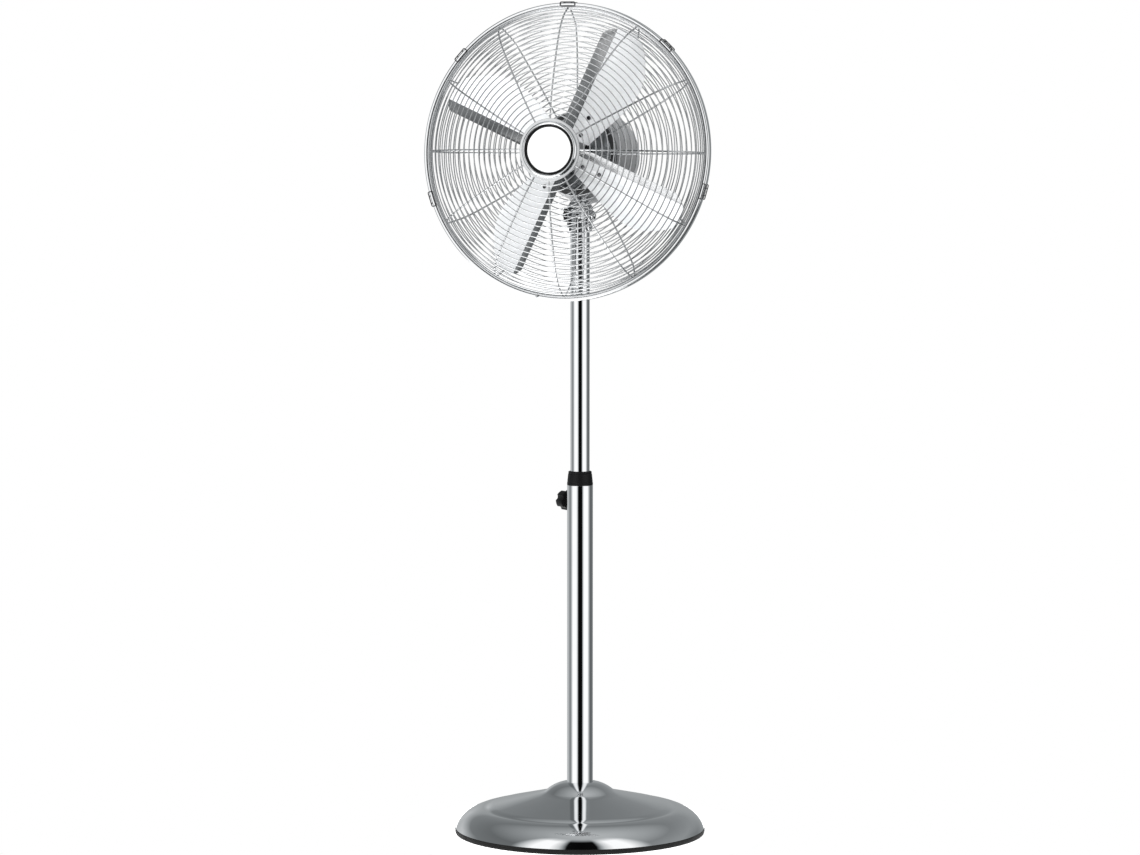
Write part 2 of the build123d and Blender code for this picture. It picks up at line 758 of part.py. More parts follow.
# ------------------------------------------------------------------ gearbox and clutch
wheel_tip = wheel_radius + gear_module
case_left = -worm_radius - 3 * gearbox_wall
case_right = wheel_x + wheel_tip + gearbox_wall + clear_gap
case_front = -bell_back
case_back = wheel_y + wheel_tip + gearbox_wall + clear_gap
case_middle = ((case_left + case_right) / 2, (case_front + case_back) / 2)
case_size = (case_right - case_left, case_back - case_front)
case_inner = (case_size[0] - 2 * gearbox_wall, case_size[1] - 2 * gearbox_wall)
with BuildPart() as gearbox_case:
    with BuildSketch(Plane.XY.offset(case_floor)):
        with Locations(case_middle):
            Rectangle(*case_size)
    extrude(amount=case_roof - case_floor)
    with BuildSketch(Plane.XY.offset(case_floor + gearbox_wall)):
        with Locations(case_middle):
            Rectangle(*case_inner)
    extrude(amount=case_roof - case_floor - gearbox_wall, mode=Mode.SUBTRACT)
    with BuildSketch(facing.offset(bell_back)):
        Circle(worm_radius + clear_gap)
    extrude(amount=-2 * gearbox_wall, mode=Mode.SUBTRACT)
    with BuildSketch(Plane.XY.offset(case_floor)):
        with Locations((wheel_x, wheel_y)):
            Circle(link_half_width + running_gap)
    extrude(amount=gearbox_wall, mode=Mode.SUBTRACT)
    with BuildSketch(Plane.XY.offset(gear_bottom + seat_gap)):
        with Locations((0, crank_back)):
            Circle(link_half_width)
    extrude(amount=case_floor - gear_bottom)
save(gearbox_case.part, "gearbox_case", leans=True)

guide_top = fan_axis_height + housing_radius - clutch_travel
guide_radius = clutch_stem_radius + gearbox_wall
with BuildPart() as gearbox_lid:
    with BuildSketch(Plane.XY.offset(case_roof)):
        with Locations(case_middle):
            Rectangle(*case_size)
    extrude(amount=gearbox_wall)
    with BuildSketch(Plane.XY.offset(case_roof)):
        with Locations((wheel_x, wheel_y)):
            Circle(guide_radius)
    extrude(amount=guide_top - case_roof)
    with BuildSketch(Plane.XY.offset(case_roof)):
        with Locations((wheel_x, wheel_y)):
            Circle(clutch_stem_radius + running_gap)
    extrude(amount=guide_top - case_roof, mode=Mode.SUBTRACT)
save(gearbox_lid.part, "gearbox_lid", leans=True)

clutch_seat = guide_top + seat_gap
with BuildPart() as clutch_knob:
    with BuildSketch(Plane.XY.offset(fan_axis_height + worm_wheel_thickness / 2 + seat_gap)):
        with Locations((wheel_x, wheel_y)):
            Circle(clutch_stem_radius)
    extrude(amount=clutch_seat - fan_axis_height - worm_wheel_thickness / 2)
    with BuildSketch(Plane.XY.offset(clutch_seat)):
        with Locations((wheel_x, wheel_y)):
            Circle(clutch_knob_radius)
    extrude(amount=clutch_knob_height)
    chamfer(clutch_knob.edges().group_by(Axis.Z)[-1], clutch_knob_edge)
save(clutch_knob.part, "clutch_knob", leans=True)

# ------------------------------------------------------------------ motor housing
front_face = rim_forward - rear_depth - max(plate_thickness, spoke_wire) / 2


def housing_side(inset):
    """(forward place, radius) down the housing's side in short straight runs, moved in by an inset."""
    front_lip = (housing_front, housing_front_radius - inset)
    middle = ((housing_front + housing_widest) / 2, housing_middle_radius - inset)
    widest = (housing_widest, housing_radius - inset)
    shoulder = (housing_shoulder, housing_shoulder_radius - inset)
    back_edge = (housing_back + inset, housing_back_radius)
    front_run = ThreePointArc(front_lip, middle, widest)
    side_run = TangentArc(widest, shoulder, tangent=(-1, 0))
    back_run = TangentArc(shoulder, back_edge, tangent=side_run % 1)
    points = [front_run @ (step / housing_runs) for step in range(housing_runs)]
    points += [side_run @ (step / housing_runs) for step in range(housing_runs)]
    points += [back_run @ (step / (2 * housing_runs)) for step in range(2 * housing_runs + 1)]
    return [(point.X, point.Y) for point in points] + [(back_edge[0], 0), (housing_front, 0)]


housing_outside = housing_side(0)
housing_inside = housing_side(housing_skin)
with BuildPart() as motor_housing:
    for outline, mode in ((housing_outside, Mode.ADD), (housing_inside, Mode.SUBTRACT)):
        with BuildSketch(side_view):
            with BuildLine():
                Polyline(*outline, close=True)
            make_face()
        revolve(axis=fan_axis, mode=mode)
    with BuildSketch(Plane.XY.offset(fork_shoulder)):
        Circle(fork_neck_radius + clear_gap)
    extrude(amount=fan_axis_height - bell_radius - fork_shoulder, mode=Mode.SUBTRACT)
    with BuildSketch(Plane.XY.offset(case_roof)):
        with Locations((wheel_x, wheel_y)):
            Circle(guide_radius + slide_gap)
    extrude(amount=housing_radius, mode=Mode.SUBTRACT)
    with BuildSketch(facing.offset(housing_back)):
        Circle(speed_stem_radius + slide_gap)
    extrude(amount=2 * housing_skin, mode=Mode.SUBTRACT)
save(motor_housing.part, "motor_housing", leans=True)

dish_radius = housing_front_radius - front_cover_dish
with BuildPart() as motor_front_cover:
    with BuildSketch(side_view):
        with BuildLine():
            Polyline(
                (front_face, guard_neck_radius - guard_neck_wall),
                (front_face, dish_radius),
                (housing_front, housing_front_radius),
                (housing_front, housing_front_radius - front_cover_thickness),
                (front_face - front_cover_thickness, dish_radius - front_cover_thickness),
                (front_face - front_cover_thickness, winding_inner),
                (bell_front, winding_inner),
                (bell_front, winding_inner - bell_wall),
                (front_face - front_cover_thickness, winding_inner - bell_wall),
                (front_face - front_cover_thickness, guard_neck_radius - guard_neck_wall),
                close=True,
            )
        make_face()
    revolve(axis=fan_axis)
    with BuildSketch(facing.offset(front_face - front_cover_thickness)):
        Circle(guard_neck_radius)
        Circle(guard_neck_radius - guard_neck_wall, mode=Mode.SUBTRACT)
    extrude(amount=guard_neck_length + front_cover_thickness)
save(motor_front_cover.part, "motor_front_cover", leans=True)

with BuildPart() as guard_nut:
    with BuildSketch(facing.offset(front_face + max(plate_thickness, spoke_wire))):
        RegularPolygon(guard_nut_radius, round_sides)
        Circle(guard_neck_radius + running_gap, mode=Mode.SUBTRACT)
    extrude(amount=guard_nut_length)
save(guard_nut.part, "guard_nut", leans=True)

with BuildPart() as speed_switch:
    with BuildSketch(facing.offset(housing_back + housing_skin)):
        Rectangle(2 * switch_half_width, 2 * switch_half_width)
        Circle(speed_stem_radius + running_gap, mode=Mode.SUBTRACT)
    extrude(amount=switch_depth)
save(speed_switch.part, "speed_switch", leans=True)

with BuildPart() as speed_knob:
    with BuildSketch(facing.offset(housing_back - slide_gap)):
        Circle(speed_knob_radius)
    extrude(amount=-speed_knob_length / 4)
    with BuildSketch(facing.offset(housing_back - slide_gap)):
        Circle(speed_knob_radius - speed_knob_edge)
    extrude(amount=-speed_knob_length / 2)
    with BuildSketch(facing.offset(housing_back - slide_gap)):
        RectangleRounded(speed_knob_radius / 2, 2 * speed_knob_radius - speed_knob_edge, speed_knob_radius / 5)
    extrude(amount=-speed_knob_length)
    with BuildSketch(facing.offset(housing_back - slide_gap)):
        Circle(speed_stem_radius)
    extrude(amount=switch_depth)
save(speed_knob.part, "speed_knob", leans=True)

with BuildPart() as run_capacitor:
    with BuildSketch(facing.offset(stator_front)):
        with Locations((-bolt_circle - 3 * motor_bolt_radius - capacitor_width / 2, 0)):
            RectangleRounded(capacitor_width, 2 * capacitor_width, capacitor_width / 7)
    extrude(amount=-stator_length)
save(run_capacitor.part, "run_capacitor", leans=True)

# ------------------------------------------------------------------ guards
spoke_step = 360 / spoke_count


def guard_outline(start, shape, depth):
    """(radius, depth ahead of or behind the rim plane) along a spoke, from the hub to the rim wire."""
    points = [(share * rim_radius, level * depth) for share, level in shape]
    return [(start, depth)] + points + [(rim_radius, (rim_gap + rim_wire) / 2)]


def ring_place(outline, radius, forward, outside):
    """Radius and forward place of the ring wire that lies on the spokes' outer or inner side."""
    for (near, near_depth), (far, far_depth) in zip(outline, outline[1:]):
        if near <= radius < far:
            share = (radius - near) / (far - near)
            depth = near_depth + (far_depth - near_depth) * share
            length = hypot(far - near, near_depth - far_depth)
            lean_out, lean_up = (far - near) / length, (near_depth - far_depth) / length
    lift = outside * (spoke_wire / 2 + ring_wire / 2 * (lean_out + lean_up) - weld_sink)
    return radius + lift * lean_up, rim_forward + forward * (depth + lift * lean_out)


def wire_guard(outline, forward, outside, plate_radius, plate_bore):
    """One guard: rim wire, bent spokes, hub plate and the ring wires welded to the spokes."""
    with BuildPart() as spoke:
        with BuildLine(side_view) as spoke_line:
            Polyline(*[(rim_forward + forward * depth, radius) for radius, depth in outline])
        with BuildSketch(Plane(origin=spoke_line.line @ 0, z_dir=spoke_line.line % 0)):
            Rectangle(spoke_wire, spoke_wire)
        sweep(transition=Transition.RIGHT)
    with BuildPart() as guard:
        for number in range(spoke_count):
            add(spoke.part.rotate(fan_axis, number * spoke_step))
        with BuildSketch(facing.offset(rim_forward + forward * outline[0][1] - plate_thickness / 2)):
            Circle(plate_radius)
            Circle(plate_bore, mode=Mode.SUBTRACT)
        extrude(amount=plate_thickness)
        with BuildSketch(facing.offset(rim_forward + forward * rim_gap / 2)):
            Circle(rim_radius + rim_wire / 2)
            Circle(rim_radius - rim_wire / 2, mode=Mode.SUBTRACT)
        extrude(amount=forward * rim_wire)
        for number in range(1, ring_count + 1):
            spoke_place = plate_radius + number * (rim_radius - plate_radius) / (ring_count + 1)
            radius, middle = ring_place(outline, spoke_place, forward, outside)
            sides = spoke_count if radius < coarse_ring_radius else 2 * spoke_count
            with BuildSketch(facing.offset(middle - ring_wire / 2)):
                RegularPolygon(radius + ring_wire / 2, sides)
                RegularPolygon(radius - ring_wire / 2, sides, mode=Mode.SUBTRACT)
            extrude(amount=ring_wire)
    return guard.part


front_outline = guard_outline(hub_plate_radius - front_spoke_seat, front_shape, front_depth)
save(wire_guard(front_outline, 1, 1, hub_plate_radius, hub_plate_bore), "front_guard", leans=True)

rear_outline = guard_outline(rear_plate_radius - rear_spoke_seat, rear_shape, rear_depth)
rear_bore = guard_neck_radius + running_gap
save(wire_guard(rear_outline, -1, -1, rear_plate_radius, rear_bore), "rear_guard", leans=True)

with BuildPart() as guard_hoop:
    with BuildSketch(side_view):
        with BuildLine():
            Polyline(
                (rim_forward - hoop_half_width, hoop_radius - hoop_lip),
                (rim_forward - hoop_half_width, hoop_radius - hoop_wall),
                (rim_forward - hoop_half_width + hoop_wall, hoop_radius),
                (rim_forward + hoop_half_width - hoop_wall, hoop_radius),
                (rim_forward + hoop_half_width, hoop_radius - hoop_wall),
                (rim_forward + hoop_half_width, hoop_radius - hoop_lip),
                (rim_forward + hoop_half_width - hoop_wall, hoop_radius - hoop_lip),
                (rim_forward + hoop_half_width - hoop_wall, hoop_radius - hoop_wall),
                (rim_forward - hoop_half_width + hoop_wall, hoop_radius - hoop_wall),
                (rim_forward - hoop_half_width + hoop_wall, hoop_radius - hoop_lip),
                close=True,
            )
        make_face()
    revolve(axis=fan_axis)
save(guard_hoop.part, "guard_hoop", leans=True)

clip_inner = hoop_half_width + seat_gap
clip_outer = clip_inner + clip_wall
clip_top = hoop_radius + seat_gap + clip_wall
with BuildPart() as one_clip:
    with BuildSketch(side_view.offset(-clip_width / 2)):
        with Locations((rim_forward, clip_top - clip_reach / 2)):
            Rectangle(2 * clip_outer, clip_reach)
        with Locations((rim_forward, clip_top - clip_wall - clip_reach / 2)):
            Rectangle(2 * clip_inner, clip_reach, mode=Mode.SUBTRACT)
    extrude(amount=clip_width)
    chamfer(one_clip.edges().filter_by(Axis.Y).group_by(Axis.Z)[-1], clip_wall / 3)
guard_clips = Compound([one_clip.part.rotate(fan_axis, angle - 90) for angle in clip_angles])
save(guard_clips, "guard_clips", leans=True)

with BuildPart() as hoop_screw:
    with BuildSketch(facing.offset(rim_forward + hoop_half_width)):
        with Locations((0, hoop_radius - hoop_lip / 2)):
            RegularPolygon(joint_screw_radius, small_round_sides)
    extrude(amount=joint_screw_radius / 2)
save(hoop_screw.part.rotate(fan_axis, joint_screw_angle - 90), "hoop_screw", leans=True)

badge_seat = rim_forward + front_depth + max(plate_thickness, spoke_wire) / 2
with BuildPart() as badge_bezel:
    with BuildSketch(facing.offset(badge_seat)):
        Circle(bezel_radius)
        Circle(badge_radius + slide_gap, mode=Mode.SUBTRACT)
    extrude(amount=bezel_height)
    chamfer(badge_bezel.edges().group_by(Axis.Y)[0], bezel_height / 4)
save(badge_bezel.part, "badge_bezel", leans=True)

with BuildPart() as badge_disc:
    with BuildSketch(facing.offset(badge_seat)):
        Circle(badge_radius)
    extrude(amount=badge_thickness)
save(badge_disc.part, "badge_disc", leans=True)

with BuildPart() as badge_back:
    with BuildSketch(facing.offset(badge_seat - plate_thickness)):
        Circle(badge_radius)
    extrude(amount=-plate_thickness)
    with BuildSketch(facing.offset(badge_seat)):
        Circle(hub_plate_bore - seat_gap)
    extrude(amount=-plate_thickness)
    with BuildSketch(facing.offset(badge_seat)):
        with PolarLocations(badge_screw_circle, badge_screw_count):
            Circle(badge_screw_radius)
    extrude(amount=-2 * plate_thickness, mode=Mode.SUBTRACT)
save(badge_back.part, "badge_back", leans=True)

with BuildPart() as badge_screws:
    with BuildSketch(facing.offset(badge_seat - 2 * plate_thickness)):
        with PolarLocations(badge_screw_circle, badge_screw_count):
            RegularPolygon(2 * badge_screw_radius, hex_sides)
    extrude(amount=-badge_screw_radius)
    with BuildSketch(facing.offset(badge_seat - 2 * plate_thickness)):
        with PolarLocations(badge_screw_circle, badge_screw_count):
            RegularPolygon(badge_screw_radius, hex_sides)
    extrude(amount=2 * plate_thickness)
save(badge_screws.part, "badge_screws", leans=True)

# ------------------------------------------------------------------ blades
# A blade is drawn upright: across is +X, forward is -Y, and its length runs up from the fan's axis.
fold = Vector(strip_end, fold_forward)
rolled_edge = Vector(strip_start, fold_forward + strip_rise)
leading_edge = Vector(blade_reach, fold_forward - blade_fall)
chord = leading_edge - fold
chord_back = Vector(chord.Y, -chord.X).normalized()
arc_radius = chord.length**2 / (8 * blade_camber) + blade_camber / 2
arc_middle = fold + chord * 0.5 + chord_back * blade_camber
arc_centre = arc_middle - chord_back * arc_radius
strip = fold - rolled_edge
strip_back = Vector(strip.Y, -strip.X).normalized()
blade_run = blade_tip_radius + blade_thickness
blade_top = Plane(origin=(0, -rim_forward, fan_axis_height + blade_run), x_dir=(1, 0, 0), z_dir=(0, 0, -1))


def back_of(point, depth):
    """A point of the blade's face moved straight back through the sheet by depth."""
    return point + (point - arc_centre).normalized() * depth


def folded_back(depth):
    """The fold line moved back by depth so that it stays on both sides of the bend."""
    face_back = (fold - arc_centre).normalized()
    return fold + (strip_back + face_back) * (depth / (1 + strip_back.dot(face_back)))


def sheet(near, far):
    """The blade's folded section between two depths behind its face, run down from tip to hub."""
    with BuildPart() as slab:
        with BuildSketch(blade_top):
            with BuildLine():
                Polyline(rolled_edge + strip_back * far, rolled_edge + strip_back * near, folded_back(near))
                ThreePointArc(folded_back(near), back_of(arc_middle, near), back_of(leading_edge, near))
                Line(back_of(leading_edge, near), back_of(leading_edge, far))
                ThreePointArc(back_of(leading_edge, far), back_of(arc_middle, far), folded_back(far))
                Line(folded_back(far), rolled_edge + strip_back * far)
            make_face()
        extrude(amount=blade_run)
    return slab.part


face_drop = sqrt(arc_radius**2 - (rivet_across - arc_centre.X) ** 2)
rivet_on_face = Vector(rivet_across, arc_centre.Y - face_drop)
rivet_out = (arc_centre - rivet_on_face).normalized()
rivet_planes = [
    Plane(
        origin=(rivet_across, -rim_forward - rivet_on_face.Y, fan_axis_height + station),
        x_dir=(0, 0, 1),
        z_dir=(rivet_out.X, -rivet_out.Y, 0),
    )
    for station in rivet_stations
]
sheet_stack = blade_thickness + arm_thickness
rivet_lift = rivet_head_radius**2 / arc_radius  # clears the hollow of the curved face

root_end = (arm_end + blade_heel, blade_root)
strip_corner = (strip_start, strip_top * blade_tip_radius)
tip_point = (tip_peak * blade_reach, blade_tip_radius)
with BuildPart() as blade:
    add(sheet(0, blade_thickness))
    with BuildSketch(facing):
        with BuildLine():
            Polyline(root_end, (strip_start * heel_share, blade_root), (strip_start, 2 * blade_root), strip_corner)
            ThreePointArc(
                strip_corner, (strip_start * tip_turn[0], blade_tip_radius * tip_turn[1]), tip_point
            )
            Spline(
                tip_point,
                *[(across * blade_reach, along * blade_tip_radius) for across, along in leading_shape],
                root_end,
                tangents=((1, 0), leading_run_in),
            )
        make_face()
    extrude(amount=rim_forward + front_depth, mode=Mode.INTERSECT)
    for plane in rivet_planes:
        with BuildSketch(plane):
            Circle(rivet_shank)
        extrude(amount=sheet_stack, both=True, mode=Mode.SUBTRACT)

with BuildPart() as arm:
    add(sheet(blade_thickness, sheet_stack))
    with BuildSketch(facing):
        with Locations(((arm_start + arm_end) / 2, (hub_radius + arm_length) / 2)):
            RectangleRounded(arm_end - arm_start, arm_length - hub_radius / 2, (arm_end - arm_start) / 3)
    extrude(amount=rim_forward + front_depth, mode=Mode.INTERSECT)
    for plane in rivet_planes:
        with BuildSketch(plane):
            Circle(rivet_shank)
        extrude(amount=2 * sheet_stack, both=True, mode=Mode.SUBTRACT)

with BuildPart() as rivet:
    for plane in rivet_planes:
        with BuildSketch(plane.offset(rivet_lift)):
            RegularPolygon(rivet_head_radius, small_round_sides)
        extrude(amount=rivet_head)
        with BuildSketch(plane.offset(-sheet_stack)):
            RegularPolygon(rivet_shank, small_round_sides)
        extrude(amount=sheet_stack + rivet_lift)
        with BuildSketch(plane.offset(-sheet_stack)):
            RegularPolygon(rivet_head_radius, small_round_sides)
        extrude(amount=-rivet_head)

blade_step = 360 / blade_count
turns = [blade_angle - 90 + number * blade_step for number in range(blade_count)]
for number, turn in enumerate(turns, start=1):
    save(blade.part.rotate(fan_axis, turn), f"blade_{number}", leans=True)

with BuildPart() as blade_hub:
    with BuildSketch(facing.offset(hub_back)):
        Circle(hub_radius)
    extrude(amount=hub_front - hub_back)
    for turn in turns:
        add(arm.part.rotate(fan_axis, turn))
    with BuildSketch(facing.offset(hub_back)):
        Circle(shaft_radius)
    extrude(amount=hub_front - hub_back, mode=Mode.SUBTRACT)
save(blade_hub.part, "blade_hub", leans=True)

blade_rivets = Compound([rivet.part.rotate(fan_axis, turn) for turn in turns])
save(blade_rivets, "blade_rivets", leans=True)

with BuildPart() as spinner_nut:
    with BuildSketch(facing.offset(hub_front)):
        Circle(spinner_radius)
    extrude(amount=spinner_length, taper=spinner_taper)
    with BuildSketch(facing.offset(hub_front)):
        Circle(shaft_radius)
    extrude(amount=shaft_end - hub_front, mode=Mode.SUBTRACT)
save(spinner_nut.part, "spinner_nut", leans=True)
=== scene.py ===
"""Looks of a chrome pedestal fan: a domed round base, a telescopic column and a caged head with four blades.

Metres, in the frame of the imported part: +Z up, the column on the Z axis, the head facing -Y and leaning back
a little.
"""

import json
import logging
from dataclasses import dataclass, field
from enum import Enum
from math import atan2, cos, degrees, hypot, pi, radians, sin
from typing import Any, ClassVar, Sequence

import bmesh
import bpy
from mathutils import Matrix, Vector


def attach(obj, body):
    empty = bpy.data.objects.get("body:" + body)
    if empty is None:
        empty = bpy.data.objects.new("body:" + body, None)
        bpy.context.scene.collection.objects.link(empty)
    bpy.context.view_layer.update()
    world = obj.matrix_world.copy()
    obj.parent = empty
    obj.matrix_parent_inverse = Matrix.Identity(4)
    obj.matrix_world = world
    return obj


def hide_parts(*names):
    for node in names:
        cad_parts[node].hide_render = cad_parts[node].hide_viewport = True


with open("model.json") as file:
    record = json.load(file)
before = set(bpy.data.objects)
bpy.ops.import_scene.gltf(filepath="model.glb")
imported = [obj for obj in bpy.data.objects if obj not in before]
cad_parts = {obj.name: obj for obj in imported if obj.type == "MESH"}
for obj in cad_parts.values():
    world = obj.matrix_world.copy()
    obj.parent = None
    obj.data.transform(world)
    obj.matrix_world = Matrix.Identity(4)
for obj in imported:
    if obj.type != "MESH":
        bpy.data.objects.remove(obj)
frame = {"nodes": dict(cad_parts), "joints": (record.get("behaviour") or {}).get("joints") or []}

logging.basicConfig(level=logging.INFO, format="%(levelname)s %(message)s")
LOG = logging.getLogger("fan")

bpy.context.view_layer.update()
MILLIMETRE = 0.001
TURN = 2 * pi
RIGHT_ANGLE = 90.0

# points closer than these become one, in drawn shapes and in copies of the part's solids
DRAWN_WELD = 0.01 * MILLIMETRE
SOLID_WELD = 0.002 * MILLIMETRE
# a solid's edges that bend more than this many degrees are rounded, and faces that bend less become one
ROUNDED_BEND = 28.0
FLAT_BEND = 1.0
# a corner's rounding stops just short of the middle of its shorter side
SIDE_PARTS = 2.01
NOISE_MIDDLE = 0.5

Pair = tuple[float, float]
Colour = tuple[float, float, float]
WHITE: Colour = (1.0, 1.0, 1.0)


class Detail(Enum):
    """How fine a noise is, as its octaves."""

    SMOOTH = 1.0
    SOFT = 2.0
    CLOUDY = 3.0
    FINE = 4.0


class Crease(Enum):
    """Which edges stay sharp: those that bend more than this many degrees."""

    DISC = 30.0
    PLAIN = 35.0
    SHEET = 40.0
    SOLID = 50.0
    ROUNDED = 60.0
    WIRE = 75.0


# ---------------------------------------------------------------------------------------------- shader graph
class Term:
    """A value socket on which Python arithmetic adds Math nodes."""

    def __init__(self, graph: "Graph", socket: bpy.types.NodeSocket) -> None:
        """Keep the socket and the graph that it belongs to.

        Args:
            graph: the graph that new nodes are added to.
            socket: an output socket that carries one number.
        """
        self.graph = graph
        self.socket = socket

    def _math(self, operation: str, first: Any, second: Any = None) -> "Term":
        """Add a Math node.

        Args:
            operation: name of the operation, as Blender spells it.
            first: first operand, a Term or a number.
            second: second operand, or None.

        Returns:
            The node's result.
        """
        operands = {0: first} if second is None else {0: first, 1: second}
        return self.graph.value("ShaderNodeMath", {"operation": operation}, operands)

    def __add__(self, other: Any) -> "Term":
        """Sum with a number or Term."""
        return self._math("ADD", self, other)

    __radd__ = __add__

    def __sub__(self, other: Any) -> "Term":
        """Difference."""
        return self._math("SUBTRACT", self, other)

    def __rsub__(self, other: Any) -> "Term":
        """Difference with the Term on the right."""
        return self._math("SUBTRACT", other, self)

    def __mul__(self, other: Any) -> "Term":
        """Product with a number or Term."""
        return self._math("MULTIPLY", self, other)

    __rmul__ = __mul__

    def __truediv__(self, other: Any) -> "Term":
        """Quotient."""
        return self._math("DIVIDE", self, other)

    def __rtruediv__(self, other: Any) -> "Term":
        """Quotient with the Term below."""
        return self._math("DIVIDE", other, self)

    def __pow__(self, other: Any) -> "Term":
        """Power."""
        return self._math("POWER", self, other)

    def __rpow__(self, other: Any) -> "Term":
        """Power with the Term as its exponent."""
        return self._math("POWER", other, self)

    def __neg__(self) -> "Term":
        """The value with its sign turned."""
        return 0 - self

    def __abs__(self) -> "Term":
        """Absolute value."""
        return self._math("ABSOLUTE", self)

    def clamped(self, low: float = 0.0, high: float = 1.0) -> "Term":
        """The value held between two limits.

        Args:
            low: lower limit.
            high: upper limit.

        Returns:
            The held value.
        """
        return self._math("MINIMUM", self._math("MAXIMUM", self, low), high)

    def larger(self, other: Any) -> "Term":
        """The larger of two values."""
        return self._math("MAXIMUM", self, other)

    def arctan2(self, other: Any) -> "Term":
        """Angle of the vector whose sine part is this value and whose cosine part is the other."""
        return self._math("ARCTAN2", self, other)


class Graph:
    """A node tree that is filled through a few short methods."""

    def __init__(self, tree: bpy.types.NodeTree) -> None:
        """Take over a tree and empty it.

        Args:
            tree: the node tree of a material or of the world.
        """
        self.tree = tree
        tree.nodes.clear()

    def add(
        self, kind: str, settings: dict[str, Any] | None = None, sockets: dict[Any, Any] | None = None
    ) -> Any:
        """Add one node.

        Args:
            kind: the node's type.
            settings: attributes that are set before the sockets; "stops" holds a ramp's places and colours.
            sockets: values or links by socket name or number.

        Returns:
            The node.
        """
        node = self.tree.nodes.new(kind)
        for name, setting in (settings or {}).items():
            if name == "stops":
                self._fill_ramp(node.color_ramp, setting)
            else:
                setattr(node, name, setting)
        for name, given in (sockets or {}).items():
            self._feed(self._find(node.inputs, name), given)
        return node

    @staticmethod
    def _find(sockets: Any, name: Any) -> Any:
        """One socket of a node.

        Args:
            sockets: the node's inputs or outputs.
            name: the socket's number, or its name, which switched-off sockets may share.

        Returns:
            The socket.
        """
        if isinstance(name, int):
            return sockets[name]
        return next(socket for socket in sockets if socket.name == name and socket.enabled)

    @staticmethod
    def _fill_ramp(ramp: Any, stops: Sequence[tuple[float, float]]) -> None:
        """Set a grey ramp's stops.

        Args:
            ramp: the node's colour ramp.
            stops: place and brightness of each stop, in order.
        """
        while len(ramp.elements) < len(stops):
            ramp.elements.new(1.0)
        for element, (place, level) in zip(ramp.elements, stops):
            element.position = place
            element.color = (level, level, level, 1.0)

    def _feed(self, socket: Any, given: Any) -> None:
        """Set a socket to a number, a colour, a Term or another node's output.

        Args:
            socket: the input socket.
            given: what it gets.
        """
        if isinstance(given, Term):
            self.tree.links.new(given.socket, socket)
        elif isinstance(given, bpy.types.NodeSocket):
            self.tree.links.new(given, socket)
        elif isinstance(given, tuple) and socket.type == "RGBA":
            socket.default_value = (*given, 1.0)
        else:
            socket.default_value = given

    def value(
        self, kind: str, settings: dict[str, Any] | None = None, sockets: dict[Any, Any] | None = None
    ) -> Term:
        """Add one node and return its first enabled output as a Term."""
        node = self.add(kind, settings, sockets)
        return Term(self, next(socket for socket in node.outputs if socket.enabled))

    def place(self) -> bpy.types.NodeSocket:
        """The point of the surface, in metres, in the frame of its object."""
        return self.add("ShaderNodeTexCoord").outputs["Object"]

    def noise(self, scale: float, detail: Detail, point: bpy.types.NodeSocket | None = None) -> Term:
        """Cloudy noise from 0 to 1.

        Args:
            scale: spots per metre.
            detail: how fine it is.
            point: where it is read; the surface's own point if left out.

        Returns:
            The noise's value.
        """
        vector = self.place() if point is None else point
        sockets = {"Vector": vector, "Scale": scale, "Detail": detail.value}
        return Term(self, self.add("ShaderNodeTexNoise", None, sockets).outputs["Fac"])

    def drawn_noise(self, spots: Sequence[float], detail: Detail) -> Term:
        """Noise that is drawn out along some axes.

        Args:
            spots: spots per metre along each axis.
            detail: how fine it is.

        Returns:
            The noise's value.
        """
        sockets = {"Vector": self.place(), "Scale": tuple(spots)}
        stretched = self.add("ShaderNodeMapping", None, sockets).outputs["Vector"]
        return self.noise(1.0, detail, stretched)

    def tinted(self, factor: Any, first: Colour, second: Colour) -> bpy.types.NodeSocket:
        """A mix of two colours.

        Args:
            factor: 0 for the first colour and 1 for the second.
            first: first colour.
            second: second colour.

        Returns:
            The mixed colour.
        """
        node = self.add("ShaderNodeMix", {"data_type": "RGBA"}, {"Factor": factor, "A": first, "B": second})
        return self._find(node.outputs, "Result")

    def bump(self, height: Term, distance: float) -> bpy.types.NodeSocket:
        """A normal tilted by a height.

        Args:
            height: the height, from 0 to 1.
            distance: how deep 1 is, in metres.

        Returns:
            The normal.
        """
        sockets = {"Height": height, "Distance": distance, "Strength": 1.0}
        return self.add("ShaderNodeBump", None, sockets).outputs["Normal"]

    def ramp(self, place: Term, stops: Sequence[Pair]) -> Term:
        """Brightness read from a grey ramp.

        Args:
            place: where the ramp is read, from 0 to 1.
            stops: place and brightness of each stop.

        Returns:
            The brightness.
        """
        node = self.add("ShaderNodeValToRGB", {"stops": stops}, {"Fac": place})
        return Term(self, node.outputs["Color"])

    def rays(self, *kinds: str) -> Term:
        """A mask of the rays of some kinds.

        Args:
            kinds: what the kinds are called on the light path's sockets.

        Returns:
            1 for a ray of any of those kinds and 0 for every other ray.
        """
        light_path = self.add("ShaderNodeLightPath")
        first, *others = (Term(self, light_path.outputs[f"Is {kind} Ray"]) for kind in kinds)
        mask = first
        for other in others:
            mask = mask.larger(other)
        return mask


